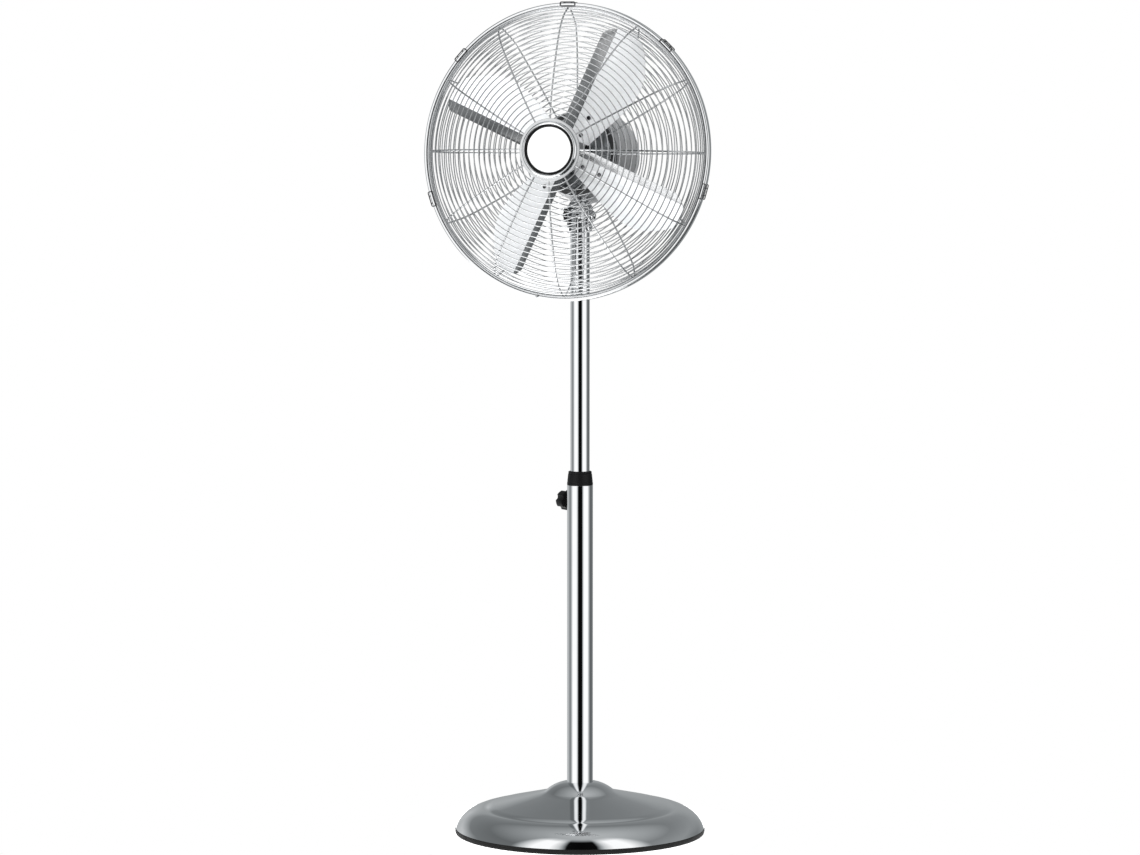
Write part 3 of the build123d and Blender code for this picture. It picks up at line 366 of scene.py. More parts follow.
# ---------------------------------------------------------------------------------------------- finishes
@dataclass(frozen=True)
class Finish:
    """A surface finish that becomes one material of its own."""

    name: str
    slot: str
    colour: Colour = (0.8, 0.8, 0.8)
    roughness: float = 0.5

    def toned(self, factor: float) -> Colour:
        """The finish's colour at another brightness."""
        return tuple(factor * part for part in self.colour)

    def recipe(self, graph: Graph) -> dict[str, Any]:
        """Sockets of the surface shader, worked out from noise over the surface.

        Args:
            graph: the material's graph.

        Returns:
            Values and links by socket name.
        """
        raise NotImplementedError

    def material(self) -> bpy.types.Material:
        """The finish's material, made on first use.

        Returns:
            The material.
        """
        title = f"{self.name}_finish"
        known = bpy.data.materials.get(title)
        if known is not None:
            return known
        made = bpy.data.materials.new(title)
        made.use_nodes = True
        graph = Graph(made.node_tree)
        surface = graph.add("ShaderNodeBsdfPrincipled", None, self.recipe(graph))
        graph.add("ShaderNodeOutputMaterial", None, {"Surface": surface.outputs["BSDF"]})
        made.diffuse_color = (*self.colour, 1.0)
        return made


@dataclass(frozen=True)
class ChromePlate(Finish):
    """Mirror-bright plating with faint polishing haze and finger-wide waviness."""

    haze: float = 0.05
    haze_spots: float = 38.0
    wave_depth: float = 0.00002
    wave_spots: float = 24.0
    wipe_spots: float = 420.0
    wipe_share: float = 0.25
    dull: float = 0.93

    def recipe(self, graph: Graph) -> dict[str, Any]:
        """Metal whose roughness drifts between clean and hazy.

        Args:
            graph: the material's graph.

        Returns:
            Values and links by socket name.
        """
        cloud = graph.noise(self.haze_spots, Detail.FINE)
        wipes = graph.noise(self.wipe_spots, Detail.SOFT)
        waves = graph.noise(self.wave_spots, Detail.SMOOTH)
        return {
            "Base Color": graph.tinted(cloud, self.colour, self.toned(self.dull)),
            "Metallic": 1.0,
            "Roughness": self.roughness + self.haze * (cloud**2) + self.haze * self.wipe_share * wipes,
            "Normal": graph.bump(waves, self.wave_depth),
        }


@dataclass(frozen=True)
class PolishedSheet(Finish):
    """Bright sheet metal with fine polishing lines across it."""

    metallic: float = 1.0
    line_stretch: tuple[float, float, float] = (30.0, 30.0, 900.0)
    line_depth: float = 0.00001
    drift: float = 0.08
    cloud_spots: float = 18.0
    dull: float = 0.88

    def recipe(self, graph: Graph) -> dict[str, Any]:
        """Metal with drawn-out noise in its roughness, tone and relief.

        Args:
            graph: the material's graph.

        Returns:
            Values and links by socket name.
        """
        lines = graph.drawn_noise(self.line_stretch, Detail.FINE)
        cloud = graph.noise(self.cloud_spots, Detail.CLOUDY)
        return {
            "Base Color": graph.tinted(lines, self.colour, self.toned(self.dull)),
            "Metallic": self.metallic,
            "Roughness": self.roughness + self.drift * cloud * lines,
            "Normal": graph.bump(lines, self.line_depth),
        }


@dataclass(frozen=True)
class SatinCoat(Finish):
    """Satin silver-white coat over a smooth disc, with a very fine sparkle."""

    metallic: float = 0.15
    sparkle_spots: float = 2600.0
    sparkle_depth: float = 0.000004
    cloud_spots: float = 25.0
    drift: float = 0.06
    pale: float = 0.95

    def recipe(self, graph: Graph) -> dict[str, Any]:
        """Pale coat with fine grain in its tone and roughness.

        Args:
            graph: the material's graph.

        Returns:
            Values and links by socket name.
        """
        grain = graph.noise(self.sparkle_spots, Detail.SOFT)
        cloud = graph.noise(self.cloud_spots, Detail.SOFT)
        return {
            "Base Color": graph.tinted(grain, self.colour, self.toned(self.pale)),
            "Metallic": self.metallic,
            "Roughness": self.roughness + self.drift * cloud,
            "Normal": graph.bump(grain, self.sparkle_depth),
        }


@dataclass(frozen=True)
class MouldedPlastic(Finish):
    """Moulded plastic or rubber with an even pebbled grain."""

    grain_spots: float = 1500.0
    grain_depth: float = 0.00002
    wear: float = 0.12
    shine: float = 0.5
    mark_spots: float = 60.0
    rubbed: float = 1.5
    dust: float = 0.002

    def recipe(self, graph: Graph) -> dict[str, Any]:
        """Matt body colour with pebble grain and slight handling marks.

        Args:
            graph: the material's graph.

        Returns:
            Values and links by socket name.
        """
        grain = graph.noise(self.grain_spots, Detail.CLOUDY)
        marks = graph.noise(self.mark_spots, Detail.FINE)
        lighter = tuple(min(1.0, part + self.dust) for part in self.toned(self.rubbed))
        return {
            "Base Color": graph.tinted(marks * grain, self.colour, lighter),
            "Specular IOR Level": self.shine,
            "Roughness": self.roughness + self.wear * (marks - NOISE_MIDDLE),
            "Normal": graph.bump(grain, self.grain_depth),
        }


@dataclass(frozen=True)
class WorkedMetal(Finish):
    """Plain machine metal: cast, zinc plated, laminated or wound."""

    grain_spots: float = 900.0
    grain_depth: float = 0.00005
    stretch: tuple[float, float, float] = (1.0, 1.0, 1.0)
    metallic: float = 1.0
    shade: float = 0.7
    shade_rate: float = 2.0
    cloud_spots: float = 45.0
    drift: float = 0.2

    def recipe(self, graph: Graph) -> dict[str, Any]:
        """Metal or painted metal with grain that may be drawn out along one axis.

        Args:
            graph: the material's graph.

        Returns:
            Values and links by socket name.
        """
        grain = graph.drawn_noise([self.grain_spots * factor for factor in self.stretch], Detail.FINE)
        cloud = graph.noise(self.cloud_spots, Detail.CLOUDY)
        shaded = (grain * cloud * self.shade_rate).clamped()
        return {
            "Base Color": graph.tinted(shaded, self.colour, self.toned(self.shade)),
            "Metallic": self.metallic,
            "Roughness": self.roughness + self.drift * (cloud - NOISE_MIDDLE),
            "Normal": graph.bump(grain, self.grain_depth),
        }


class Look(Enum):
    """Every finish on the fan."""

    TUBE_CHROME = ChromePlate("tube_chrome", "chrome", (0.86, 0.87, 0.88), 0.012, haze=0.03)
    BASE_CHROME = ChromePlate(
        "base_chrome", "chrome", (0.84, 0.85, 0.86), 0.02, haze=0.03, wave_depth=0.00006
    )
    WIRE_CHROME = ChromePlate("wire_chrome", "chrome", (0.64, 0.65, 0.66), 0.1, haze=0.08)
    CLIP_CHROME = ChromePlate("clip_chrome", "chrome", (0.08, 0.08, 0.085), 0.18, haze=0.1)
    HOUSING_SATIN = WorkedMetal(
        "housing_satin", "chrome", (0.54, 0.54, 0.55), 0.5, metallic=0.5, grain_depth=0.00001
    )
    HOUSING_CHROME = ChromePlate("housing_chrome", "chrome", (0.8, 0.81, 0.82), 0.06, haze=0.08)
    BLADE_POLISH = PolishedSheet(
        "blade_polish", "polished_aluminium", (0.83, 0.84, 0.855), 0.36, metallic=0.28
    )
    # painted shade: the blade's polish at half the brightness, for the strip behind each blade's fold
    BLADE_ROLL_PAINTED_SHADE = PolishedSheet("blade_roll_painted_shade", "polished_aluminium", (0.42, 0.425, 0.43), 0.16, drift=0.04)
    BADGE_SATIN = SatinCoat("badge_satin", "satin_badge", (0.69, 0.695, 0.7), 0.3)
    BLACK_PLASTIC = MouldedPlastic("black_plastic", "black_plastic", (0.004, 0.004, 0.0043), 0.42, shine=0.14)
    BLACK_RUBBER = MouldedPlastic(
        "black_rubber", "black_rubber", (0.005, 0.005, 0.005), 0.62, shine=0.15, grain_spots=900.0
    )
    NYLON = MouldedPlastic("nylon", "nylon", (0.8, 0.79, 0.74), 0.35, wear=0.08)
    DARK_PAINT = WorkedMetal(
        "dark_paint", "dark_paint", (0.03, 0.03, 0.032), 0.35, metallic=0.0, grain_depth=0.00001
    )
    CAST_IRON = WorkedMetal(
        "cast_iron", "cast_iron", (0.1, 0.1, 0.1), 0.7, grain_spots=500.0, grain_depth=0.0002
    )
    ZINC = WorkedMetal("zinc_steel", "zinc_steel", (0.62, 0.63, 0.64), 0.32)
    CAST_ALUMINIUM = WorkedMetal(
        "cast_aluminium", "cast_aluminium", (0.62, 0.63, 0.64), 0.45, grain_depth=0.0001
    )
    LAMINATIONS = WorkedMetal(
        "laminations", "lamination_steel", (0.32, 0.33, 0.35), 0.4, stretch=(0.1, 2.0, 0.1)
    )
    COPPER = WorkedMetal("copper_wire", "copper", (0.62, 0.28, 0.14), 0.35, stretch=(0.3, 2.0, 0.3))


# ---------------------------------------------------------------------------------------------- shapes
@dataclass(frozen=True)
class Place:
    """A set of upright axes that a sub-assembly is drawn in."""

    origin: Vector
    across: Vector
    up: Vector
    ahead: Vector

    def point(self, across: float, up: float, ahead: float) -> Vector:
        """A point of the part's frame from its three distances along the axes."""
        return self.origin + self.across * across + self.up * up + self.ahead * ahead

    def turned(self, angle: float, radius: float, ahead: float) -> Vector:
        """A point at an angle and a radius about the axis that points ahead."""
        return self.point(radius * cos(angle), radius * sin(angle), ahead)


def column_place() -> Place:
    """Axes on the column: round shapes are drawn about +Z, starting at the floor."""
    return Place(Vector((0, 0, 0)), Vector((1, 0, 0)), Vector((0, -1, 0)), Vector((0, 0, 1)))


def head_place() -> Place:
    """Axes on the fan's shaft, as the head leans at rest.

    Returns:
        Axes whose origin is where the shaft crosses the column's plane.
    """
    joints = {joint["name"]: joint for joint in frame["joints"]}
    ahead = Vector(joints["fan_spin"]["axis"]).normalized()
    up = Vector(joints["oscillation"]["axis"]).normalized()
    return Place(Vector(joints["fan_spin"]["pos_m"]), up.cross(ahead).normalized(), up, ahead)


def arc_points(start: Pair, end: Pair, bulge: float, steps: int) -> list[Pair]:
    """Points on a circular arc, without its start.

    Args:
        start: first point.
        end: last point.
        bulge: height of the arc over its chord, positive to the right of the way from start to end.
        steps: number of points.

    Returns:
        The points, the last of which is the end.
    """
    span = hypot(end[0] - start[0], end[1] - start[1])
    along = ((end[0] - start[0]) / span, (end[1] - start[1]) / span)
    half = 2 * atan2(bulge, span / 2)
    radius = span / (2 * sin(half))
    points = []
    for step in range(1, steps + 1):
        angle = half * (2 * step / steps - 1)
        reach = span / 2 + radius * sin(angle)
        rise = radius * (cos(angle) - cos(half))
        x = start[0] + along[0] * reach + along[1] * rise
        y = start[1] + along[1] * reach - along[0] * rise
        points.append((x, y))
    return points


def spline_points(knots: Sequence[Pair], steps: int) -> list[Pair]:
    """A smooth line through all the knots.

    Args:
        knots: the points that it passes through.
        steps: points per stretch between two knots.

    Returns:
        The line's points, from the first knot to the last.
    """
    ends = [knots[0], *knots, knots[-1]]
    line = [knots[0]]
    for before, start, end, after in zip(ends, ends[1:], ends[2:], ends[3:]):
        for step in range(1, steps + 1):
            t = step / steps
            # weights of the four nearest knots in a Catmull-Rom spline
            weights = (
                (-t + 2 * t**2 - t**3) / 2,
                (2 - 5 * t**2 + 3 * t**3) / 2,
                (t + 4 * t**2 - 3 * t**3) / 2,
                (-(t**2) + t**3) / 2,
            )
            corners = (before, start, end, after)
            x = sum(weight * corner[0] for weight, corner in zip(weights, corners))
            y = sum(weight * corner[1] for weight, corner in zip(weights, corners))
            line.append((x, y))
    return line


def rounded_corners(corners: Sequence[Pair], radius: float, steps: int = 4) -> list[Pair]:
    """A closed outline with each corner rounded.

    Args:
        corners: the outline's corners in order.
        radius: how far each rounding reaches along its two sides.
        steps: points per rounding.

    Returns:
        The rounded outline.
    """
    outline = []
    for index, corner in enumerate(corners):
        here = Vector(corner)
        before = Vector(corners[index - 1]) - here
        after = Vector(corners[(index + 1) % len(corners)]) - here
        reach = min(radius, before.length / SIDE_PARTS, after.length / SIDE_PARTS)
        start = here + before.normalized() * reach
        end = here + after.normalized() * reach
        for step in range(steps + 1):
            t = step / steps
            curve = start * (1 - t) ** 2 + here * 2 * t * (1 - t) + end * t**2
            outline.append((curve.x, curve.y))
    return outline


def smooth(mesh: Any, sharp: Crease) -> None:
    """Shade a mesh smoothly, with its sharp edges kept."""
    mesh.shade_smooth()
    mesh.set_sharp_from_angle(angle=radians(sharp.value))


@dataclass
class Sculpt:
    """Vertices and faces that several shapes are gathered in before they become one mesh."""

    corners: list[Vector] = field(default_factory=list)
    faces: list[tuple[int, ...]] = field(default_factory=list)

    def grid(self, rows: Sequence[Sequence[Vector]], closed_rows: bool, closed_columns: bool) -> None:
        """Add a surface of four-sided faces.

        Args:
            rows: rows of points, each as long as the others.
            closed_rows: whether each row is a loop.
            closed_columns: whether the last row joins the first.
        """
        base = len(self.corners)
        width = len(rows[0])
        for row in rows:
            self.corners.extend(row)
        for number in range(len(rows) if closed_columns else len(rows) - 1):
            here = base + number * width
            beyond = base + (number + 1) % len(rows) * width
            for step in range(width if closed_rows else width - 1):
                after = (step + 1) % width
                self.faces.append((here + step, here + after, beyond + after, beyond + step))

    def cap(self, loop: Sequence[Vector]) -> None:
        """Add one flat face.

        Args:
            loop: the points round its edge.
        """
        base = len(self.corners)
        self.corners.extend(loop)
        self.faces.append(tuple(range(base, base + len(loop))))

    def lathe(self, place: Place, outline: Sequence[Pair], segments: int) -> None:
        """Add a closed outline turned about the axis that points ahead.

        Args:
            place: axes of the sub-assembly.
            outline: (distance ahead, radius) of each corner, as a loop.
            segments: number of steps round the axis.
        """
        rows = []
        for step in range(segments):
            angle = TURN * step / segments
            rows.append([place.turned(angle, radius, ahead) for ahead, radius in outline])
        self.grid(rows, closed_rows=True, closed_columns=True)

    def wire(self, path: Sequence[Vector], radius: float, sides: int, closed: bool, ahead: Vector) -> None:
        """Add a round wire along a path.

        Args:
            path: points on the wire's middle.
            radius: the wire's radius.
            sides: sides of its section.
            closed: whether the path is a loop.
            ahead: a direction that the path never follows.
        """
        rows = []
        count = len(path)
        for index, middle in enumerate(path):
            before = path[index - 1] if closed or index > 0 else middle
            after = path[(index + 1) % count] if closed or index < count - 1 else middle
            along = (after - before).normalized()
            side = along.cross(ahead).normalized()
            lift = side.cross(along)
            ring = []
            for corner in range(sides):
                angle = TURN * (corner + 0.5) / sides
                ring.append(middle + side * radius * cos(angle) + lift * radius * sin(angle))
            rows.append(ring)
        self.grid(rows, closed_rows=True, closed_columns=closed)
        if not closed:
            self.cap(rows[0])
            self.cap(rows[-1])

    def mesh(self, name: str, sharp: Crease = Crease.PLAIN) -> Any:
        """Everything gathered, as one smooth-shaded mesh.

        Args:
            name: the mesh's name.
            sharp: which edges stay sharp.

        Returns:
            The mesh.
        """
        mesh = bpy.data.meshes.new(name)
        mesh.from_pydata([tuple(corner) for corner in self.corners], [], self.faces)
        shape = bmesh.new()
        shape.from_mesh(mesh)
        bmesh.ops.remove_doubles(shape, verts=shape.verts, dist=DRAWN_WELD)
        bmesh.ops.recalc_face_normals(shape, faces=shape.faces)
        shape.to_mesh(mesh)
        shape.free()
        smooth(mesh, sharp)
        return mesh


def lathe_mesh(
    name: str, place: Place, outline: Sequence[Pair], segments: int = 160, sharp: Crease = Crease.PLAIN
) -> Any:
    """One outline turned about the axis that points ahead.

    Args:
        name: the mesh's name.
        place: axes of the sub-assembly.
        outline: (distance ahead, radius) of each corner, as a loop.
        segments: number of steps round the axis.
        sharp: which edges stay sharp.

    Returns:
        The mesh.
    """
    shape = Sculpt()
    shape.lathe(place, outline, segments)
    return shape.mesh(name, sharp)


def softened(node: str, width: float, steps: int = 2) -> Any:
    """A copy of a node's solid with its edges rounded.

    Args:
        node: the node's name.
        width: width of the rounding, in metres.
        steps: strips per rounding.

    Returns:
        The mesh.
    """
    mesh = frame["nodes"][node].data.copy()
    mesh.name = f"{node}_soft"
    mesh.materials.clear()
    shape = bmesh.new()
    shape.from_mesh(mesh)
    bmesh.ops.remove_doubles(shape, verts=shape.verts, dist=SOLID_WELD)
    bmesh.ops.dissolve_limit(shape, angle_limit=radians(FLAT_BEND), verts=shape.verts, edges=shape.edges)
    bend = radians(ROUNDED_BEND)
    edges = [edge for edge in shape.edges if edge.is_manifold and edge.calc_face_angle() > bend]
    bmesh.ops.bevel(
        shape, geom=edges, offset=width, offset_type="OFFSET", segments=steps, profile=0.5, affect="EDGES",
        clamp_overlap=True, harden_normals=False,
    )
    shape.to_mesh(mesh)
    shape.free()
    smooth(mesh, Crease.SOLID)
    return mesh


# ---------------------------------------------------------------------------------------------- assembly
class SubAssembly:
    """What every sub-assembly does with its pieces."""

    body: ClassVar[str] = "stand"

    def put(
        self, name: str, mesh: Any, look: Look, replaces: Sequence[str] = (), body: str | None = None
    ) -> Any:
        """Add one finished piece.

        Args:
            name: the piece's name.
            mesh: its mesh.
            look: its finish.
            replaces: nodes that it stands for.
            body: the body that it moves with; the sub-assembly's own if left out.

        Returns:
            The piece.
        """
        piece = bpy.data.objects.new(name, mesh)
        bpy.context.scene.collection.objects.link(piece)
        mesh.materials.clear()
        mesh.materials.append(look.value.material())
        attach(piece, body or self.body)
        if replaces:
            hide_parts(*replaces)
        LOG.info("%s: %s faces, %s", name, len(mesh.polygons), look.name.lower())
        return piece

    def round_off(
        self, name: str, node: str, width: float, look: Look, steps: int = 2, body: str | None = None
    ) -> Any:
        """Add one piece that is a node's solid with its edges rounded.

        Args:
            name: the piece's name.
            node: the node that it stands for.
            width: width of the rounding.
            look: its finish.
            steps: strips per rounding.
            body: the body that it moves with; the sub-assembly's own if left out.

        Returns:
            The piece.
        """
        return self.put(name, softened(node, width, steps), look, [node], body)

    @staticmethod
    def dress(look: Look, *nodes: str) -> None:
        """Give carried-over nodes a finish.

        Args:
            look: the finish.
            nodes: names of the nodes.
        """
        for node in nodes:
            frame["nodes"][node].material_slots[0].material = look.value.material()
            LOG.info("%s: %s", node, look.name.lower())

    def build(self) -> None:
        """Make and dress the sub-assembly's pieces."""
        raise NotImplementedError


@dataclass
class Base(SubAssembly):
    """Stamped round foot with its rubber edge, iron weight and floor pads."""

    body = "stand"
    radius: float = 0.1885
    rim_height: float = 0.008
    crease: Pair = (0.137, 0.041)
    boss: Pair = (0.058, 0.060)
    top: Pair = (0.0196, 0.077)
    rim_bulge: float = 0.008
    boss_bulge: float = 0.003
    crease_round: float = 0.006
    rim_steps: int = 14
    boss_steps: int = 8
    bend_steps: int = 5
    skin: float = 0.0012
    # the sheet's inner side stands in by this share of the sheet's thickness
    skin_lean: float = 0.3
    trim_height: float = 0.008
    # the rubber is at its widest from its height divided by this upwards
    trim_foot: float = 3.0
    trim_reach: float = 0.00058
    trim_lip: float = 0.003
    trim_round: float = 0.0008
    segments: int = 256

    def cover_outline(self) -> list[Pair]:
        """The stamped sheet's section.

        Returns:
            (height, radius) of each corner, as a loop.
        """
        rim = (self.radius, self.rim_height)
        crease_out = self._along(self.crease, rim, self.crease_round)
        crease_in = self._along(self.crease, self.boss, self.crease_round)
        boss_out = self._along(self.boss, self.crease, self.crease_round)
        boss_in = self._along(self.boss, self.top, self.crease_round)
        outer = [rim, *arc_points(rim, crease_out, self.rim_bulge, self.rim_steps)]
        outer += self._bend(crease_out, self.crease, crease_in)
        outer += [boss_out, *self._bend(boss_out, self.boss, boss_in)]
        outer += arc_points(boss_in, self.top, self.boss_bulge, self.boss_steps)
        lean = self.skin * self.skin_lean
        inner = [(radius - lean, height - self.skin) for radius, height in reversed(outer[1:])]
        inner.append((self.radius - self.skin, self.rim_height))
        return [(height, radius) for radius, height in outer + inner]

    @staticmethod
    def _along(corner: Pair, toward: Pair, reach: float) -> Pair:
        """The point at a given reach from a corner towards another point."""
        span = hypot(toward[0] - corner[0], toward[1] - corner[1])
        return tuple(near + (far - near) * reach / span for near, far in zip(corner, toward))

    def _bend(self, start: Pair, corner: Pair, end: Pair) -> list[Pair]:
        """Points of a soft bend round a corner.

        Args:
            start: where it begins.
            corner: the corner that it rounds.
            end: where it ends.

        Returns:
            The points after the start, the last of which is the end.
        """
        points = []
        for step in range(1, self.bend_steps + 1):
            t = step / self.bend_steps
            weights = ((1 - t) ** 2, 2 * t * (1 - t), t**2)
            points.append(tuple(sum(w * p[i] for w, p in zip(weights, (start, corner, end))) for i in (0, 1)))
        return points

    def trim_outline(self) -> list[Pair]:
        """The rubber edge's section.

        Returns:
            (height, radius) of each corner, as a loop.
        """
        outer = self.radius + self.trim_reach
        corners = [
            (0.0, self.radius - self.trim_lip),
            (0.0, self.radius - self.trim_reach),
            (self.trim_height / self.trim_foot, outer),
            (self.trim_height, outer),
            (self.trim_height, self.radius - self.trim_lip),
        ]
        return rounded_corners(corners, self.trim_round)

    def build(self) -> None:
        """Cover, edge, weight, pads and the hidden fastening."""
        place = column_place()
        cover = lathe_mesh("base_cover_skin", place, self.cover_outline(), self.segments, Crease.SHEET)
        self.put("base_cover_skin", cover, Look.BASE_CHROME, ["base_cover"])
        trim = lathe_mesh("base_edge", place, self.trim_outline(), self.segments, Crease.ROUNDED)
        self.put("base_edge", trim, Look.BLACK_RUBBER, ["base_edge_trim"])
        self.dress(Look.BLACK_RUBBER, "base_feet")
        self.dress(Look.CAST_IRON, "base_weight", "base_socket")
        self.dress(Look.ZINC, "base_bolt")


@dataclass
class Column(SubAssembly):
    """Two sliding tubes with the clamp collar and its hand knob between them."""

    body = "stand"
    lower_radius: float = 0.0195
    upper_radius: float = 0.0145
    wall: float = 0.0012
    lower_span: Pair = (0.015, 0.5285)
    upper_span: Pair = (0.400, 0.929)
    collar_height: float = 0.021
    collar_top_radius: float = 0.0174
    collar_lip: float = 0.0035
    collar_groove: float = 0.0006
    collar_round: float = 0.0005
    collar_round_steps: int = 3
    spigot: float = 0.036
    spigot_play: float = 0.0001
    gap: float = 0.0003
    # a tube's ends are rounded by its wall divided by this
    end_parts: float = 2.2
    nut_edge: float = 0.0006
    grip_edge: float = 0.0012
    grip_steps: int = 3
    head_edge: float = 0.0007
    segments: int = 160

    def tube(self, name: str, span: Pair, radius: float) -> Any:
        """A tube with rolled ends.

        Args:
            name: the mesh's name.
            span: heights of its lower and upper end.
            radius: its outer radius.

        Returns:
            The mesh.
        """
        inner = radius - self.wall
        corners = [(span[0], inner), (span[0], radius), (span[1], radius), (span[1], inner)]
        outline = rounded_corners(corners, self.wall / self.end_parts)
        return lathe_mesh(name, column_place(), outline, self.segments)

    def collar_outline(self) -> list[Pair]:
        """Section of the collar: a lip, a groove and a taper above the lower tube.

        Returns:
            (height, radius) of each corner, as a loop.
        """
        bottom = self.lower_span[1]
        top = bottom + self.collar_height
        bore = self.upper_radius + self.gap
        spigot = self.lower_radius - self.wall - self.spigot_play
        groove, cut = bottom + self.collar_lip, self.collar_groove
        shoulder, rim = top - self.collar_lip, self.collar_top_radius
        corners = [
            (bottom - self.spigot, bore),
            (bottom - self.spigot, spigot),
            (bottom, spigot),
            (bottom, self.lower_radius),
            (groove, self.lower_radius),
            (groove + cut, self.lower_radius - cut),
            (groove + 2 * cut, self.lower_radius - cut / 2),
            (shoulder - cut, rim + cut),
            (shoulder, rim - cut / 2),
            (shoulder + cut, rim + cut / 2),
            (top - cut, rim),
            (top, rim - 2 * cut),
            (top, bore),
        ]
        return rounded_corners(corners, self.collar_round, self.collar_round_steps)

    def build(self) -> None:
        """Tubes, collar, clamp and the parts that slide inside."""
        lower = self.tube("lower_tube_skin", self.lower_span, self.lower_radius)
        self.put("lower_tube_skin", lower, Look.TUBE_CHROME, ["lower_tube"])
        upper = self.tube("upper_tube_skin", self.upper_span, self.upper_radius)
        self.put("upper_tube_skin", upper, Look.TUBE_CHROME, ["upper_tube"], "mast")
        collar = lathe_mesh("clamp_collar", column_place(), self.collar_outline(), self.segments)
        self.put("clamp_collar", collar, Look.BLACK_PLASTIC, ["height_collar"])
        self.round_off("clamp_nut", "clamp_boss", self.nut_edge, Look.BLACK_PLASTIC)
        self.round_off(
            "height_grip", "height_knob", self.grip_edge, Look.BLACK_PLASTIC, self.grip_steps, "height_knob"
        )
        self.round_off("mast_end", "mast_head", self.head_edge, Look.TUBE_CHROME, body="mast")
        self.dress(Look.ZINC, "height_stud")
        self.dress(Look.BLACK_PLASTIC, "slide_shoe")


@dataclass
class TiltJoint(SubAssembly):
    """Fork, bolt, cap nut and knob that carry the head, with the swing spindle."""

    body = "neck"
    edge: float = 0.0008
    fork_steps: int = 3

    def build(self) -> None:
        """Round the fork, nut and knob, and finish the rest."""
        self.round_off("tilt_yoke", "tilt_fork", self.edge, Look.WIRE_CHROME, self.fork_steps)
        self.round_off("tilt_cap", "tilt_cap_nut", self.edge, Look.HOUSING_CHROME)
        self.round_off("tilt_grip", "tilt_knob", self.edge, Look.BLACK_PLASTIC, body="tilt_knob")
        self.dress(Look.ZINC, "tilt_bolt", "oscillation_spindle", "link_anchor", "oscillation_link")
        self.dress(Look.NYLON, "neck_washer")


@dataclass
class Motor(SubAssembly):
    """Motor, gearbox, domed housing and the two knobs on it."""

    body = "head"
    front: float = 0.020
    front_radius: float = 0.062
    widest: float = -0.045
    radius: float = 0.0715
    shoulder: Pair = (-0.102, 0.062)
    back: float = -0.128
    back_radius: float = 0.0265
    # share of the front lip's radius halfway to the widest place
    front_share: float = 0.25
    shoulder_drop: float = 0.0022
    side_steps: int = 6
    # the back's rounding begins at this many degrees
    back_start: float = 18.0
    back_steps: int = 12
    axis_hole: float = 0.004
    skin: float = 0.0012
    knob_edge: float = 0.0006
    segments: int = 192

    def side_points(self, inset: float) -> list[Pair]:
        """The housing's outline from its front lip to its axis, moved in by an inset.

        Args:
            inset: how far inside the outer surface it runs.

        Returns:
            (distance ahead, radius) of each point.
        """
        middle = (1 - self.front_share) * self.radius + self.front_share * self.front_radius
        knots = [
            (self.front, self.front_radius - inset),
            ((self.front + self.widest) / 2, middle - inset),
            (self.widest, self.radius - inset),
            ((self.widest + self.shoulder[0]) / 2, self.radius - self.shoulder_drop - inset),
            (self.shoulder[0], self.shoulder[1] - inset),
        ]
        line = spline_points(knots, self.side_steps)
        reach = self.back - self.shoulder[0] + inset
        drop = self.shoulder[1] - inset - self.back_radius
        start = radians(self.back_start)
        for step in range(1, self.back_steps + 1):
            angle = radians(self.back_start + (RIGHT_ANGLE - self.back_start) * step / self.back_steps)
            ahead = self.shoulder[0] + reach * (sin(angle) - sin(start)) / (1 - sin(start))
            line.append((ahead, self.back_radius + drop * cos(angle) / cos(start)))
        line.append((self.back + inset, self.axis_hole))
        return line

    def build(self) -> None:
        """Housing, front cover, knobs and the hidden works."""
        outer = self.side_points(0.0)
        inner = list(reversed(self.side_points(self.skin)))
        housing = lathe_mesh("housing_shell", head_place(), outer + inner, self.segments, Crease.SOLID)
        self.put("housing_shell", housing, Look.HOUSING_SATIN, ["motor_housing"])
        for name, knob in (("clutch_pull_knob", "clutch_knob"), ("speed_dial", "speed_knob")):
            self.round_off(name, knob, self.knob_edge, Look.BLACK_PLASTIC, body=knob)
        self.dress(Look.DARK_PAINT, "motor_front_cover")
        self.dress(Look.BLACK_PLASTIC, "guard_nut", "speed_switch", "run_capacitor")
        self.dress(Look.CAST_ALUMINIUM, "motor_front_bell", "motor_rear_bell", "gearbox_case", "gearbox_lid")
        self.dress(Look.LAMINATIONS, "stator_core", "rotor_core")
        self.dress(Look.COPPER, "stator_windings")
        self.dress(Look.ZINC, "motor_bolts", "shaft_bearings", "motor_shaft", "worm")
        self.dress(Look.NYLON, "worm_wheel", "crank_gear")


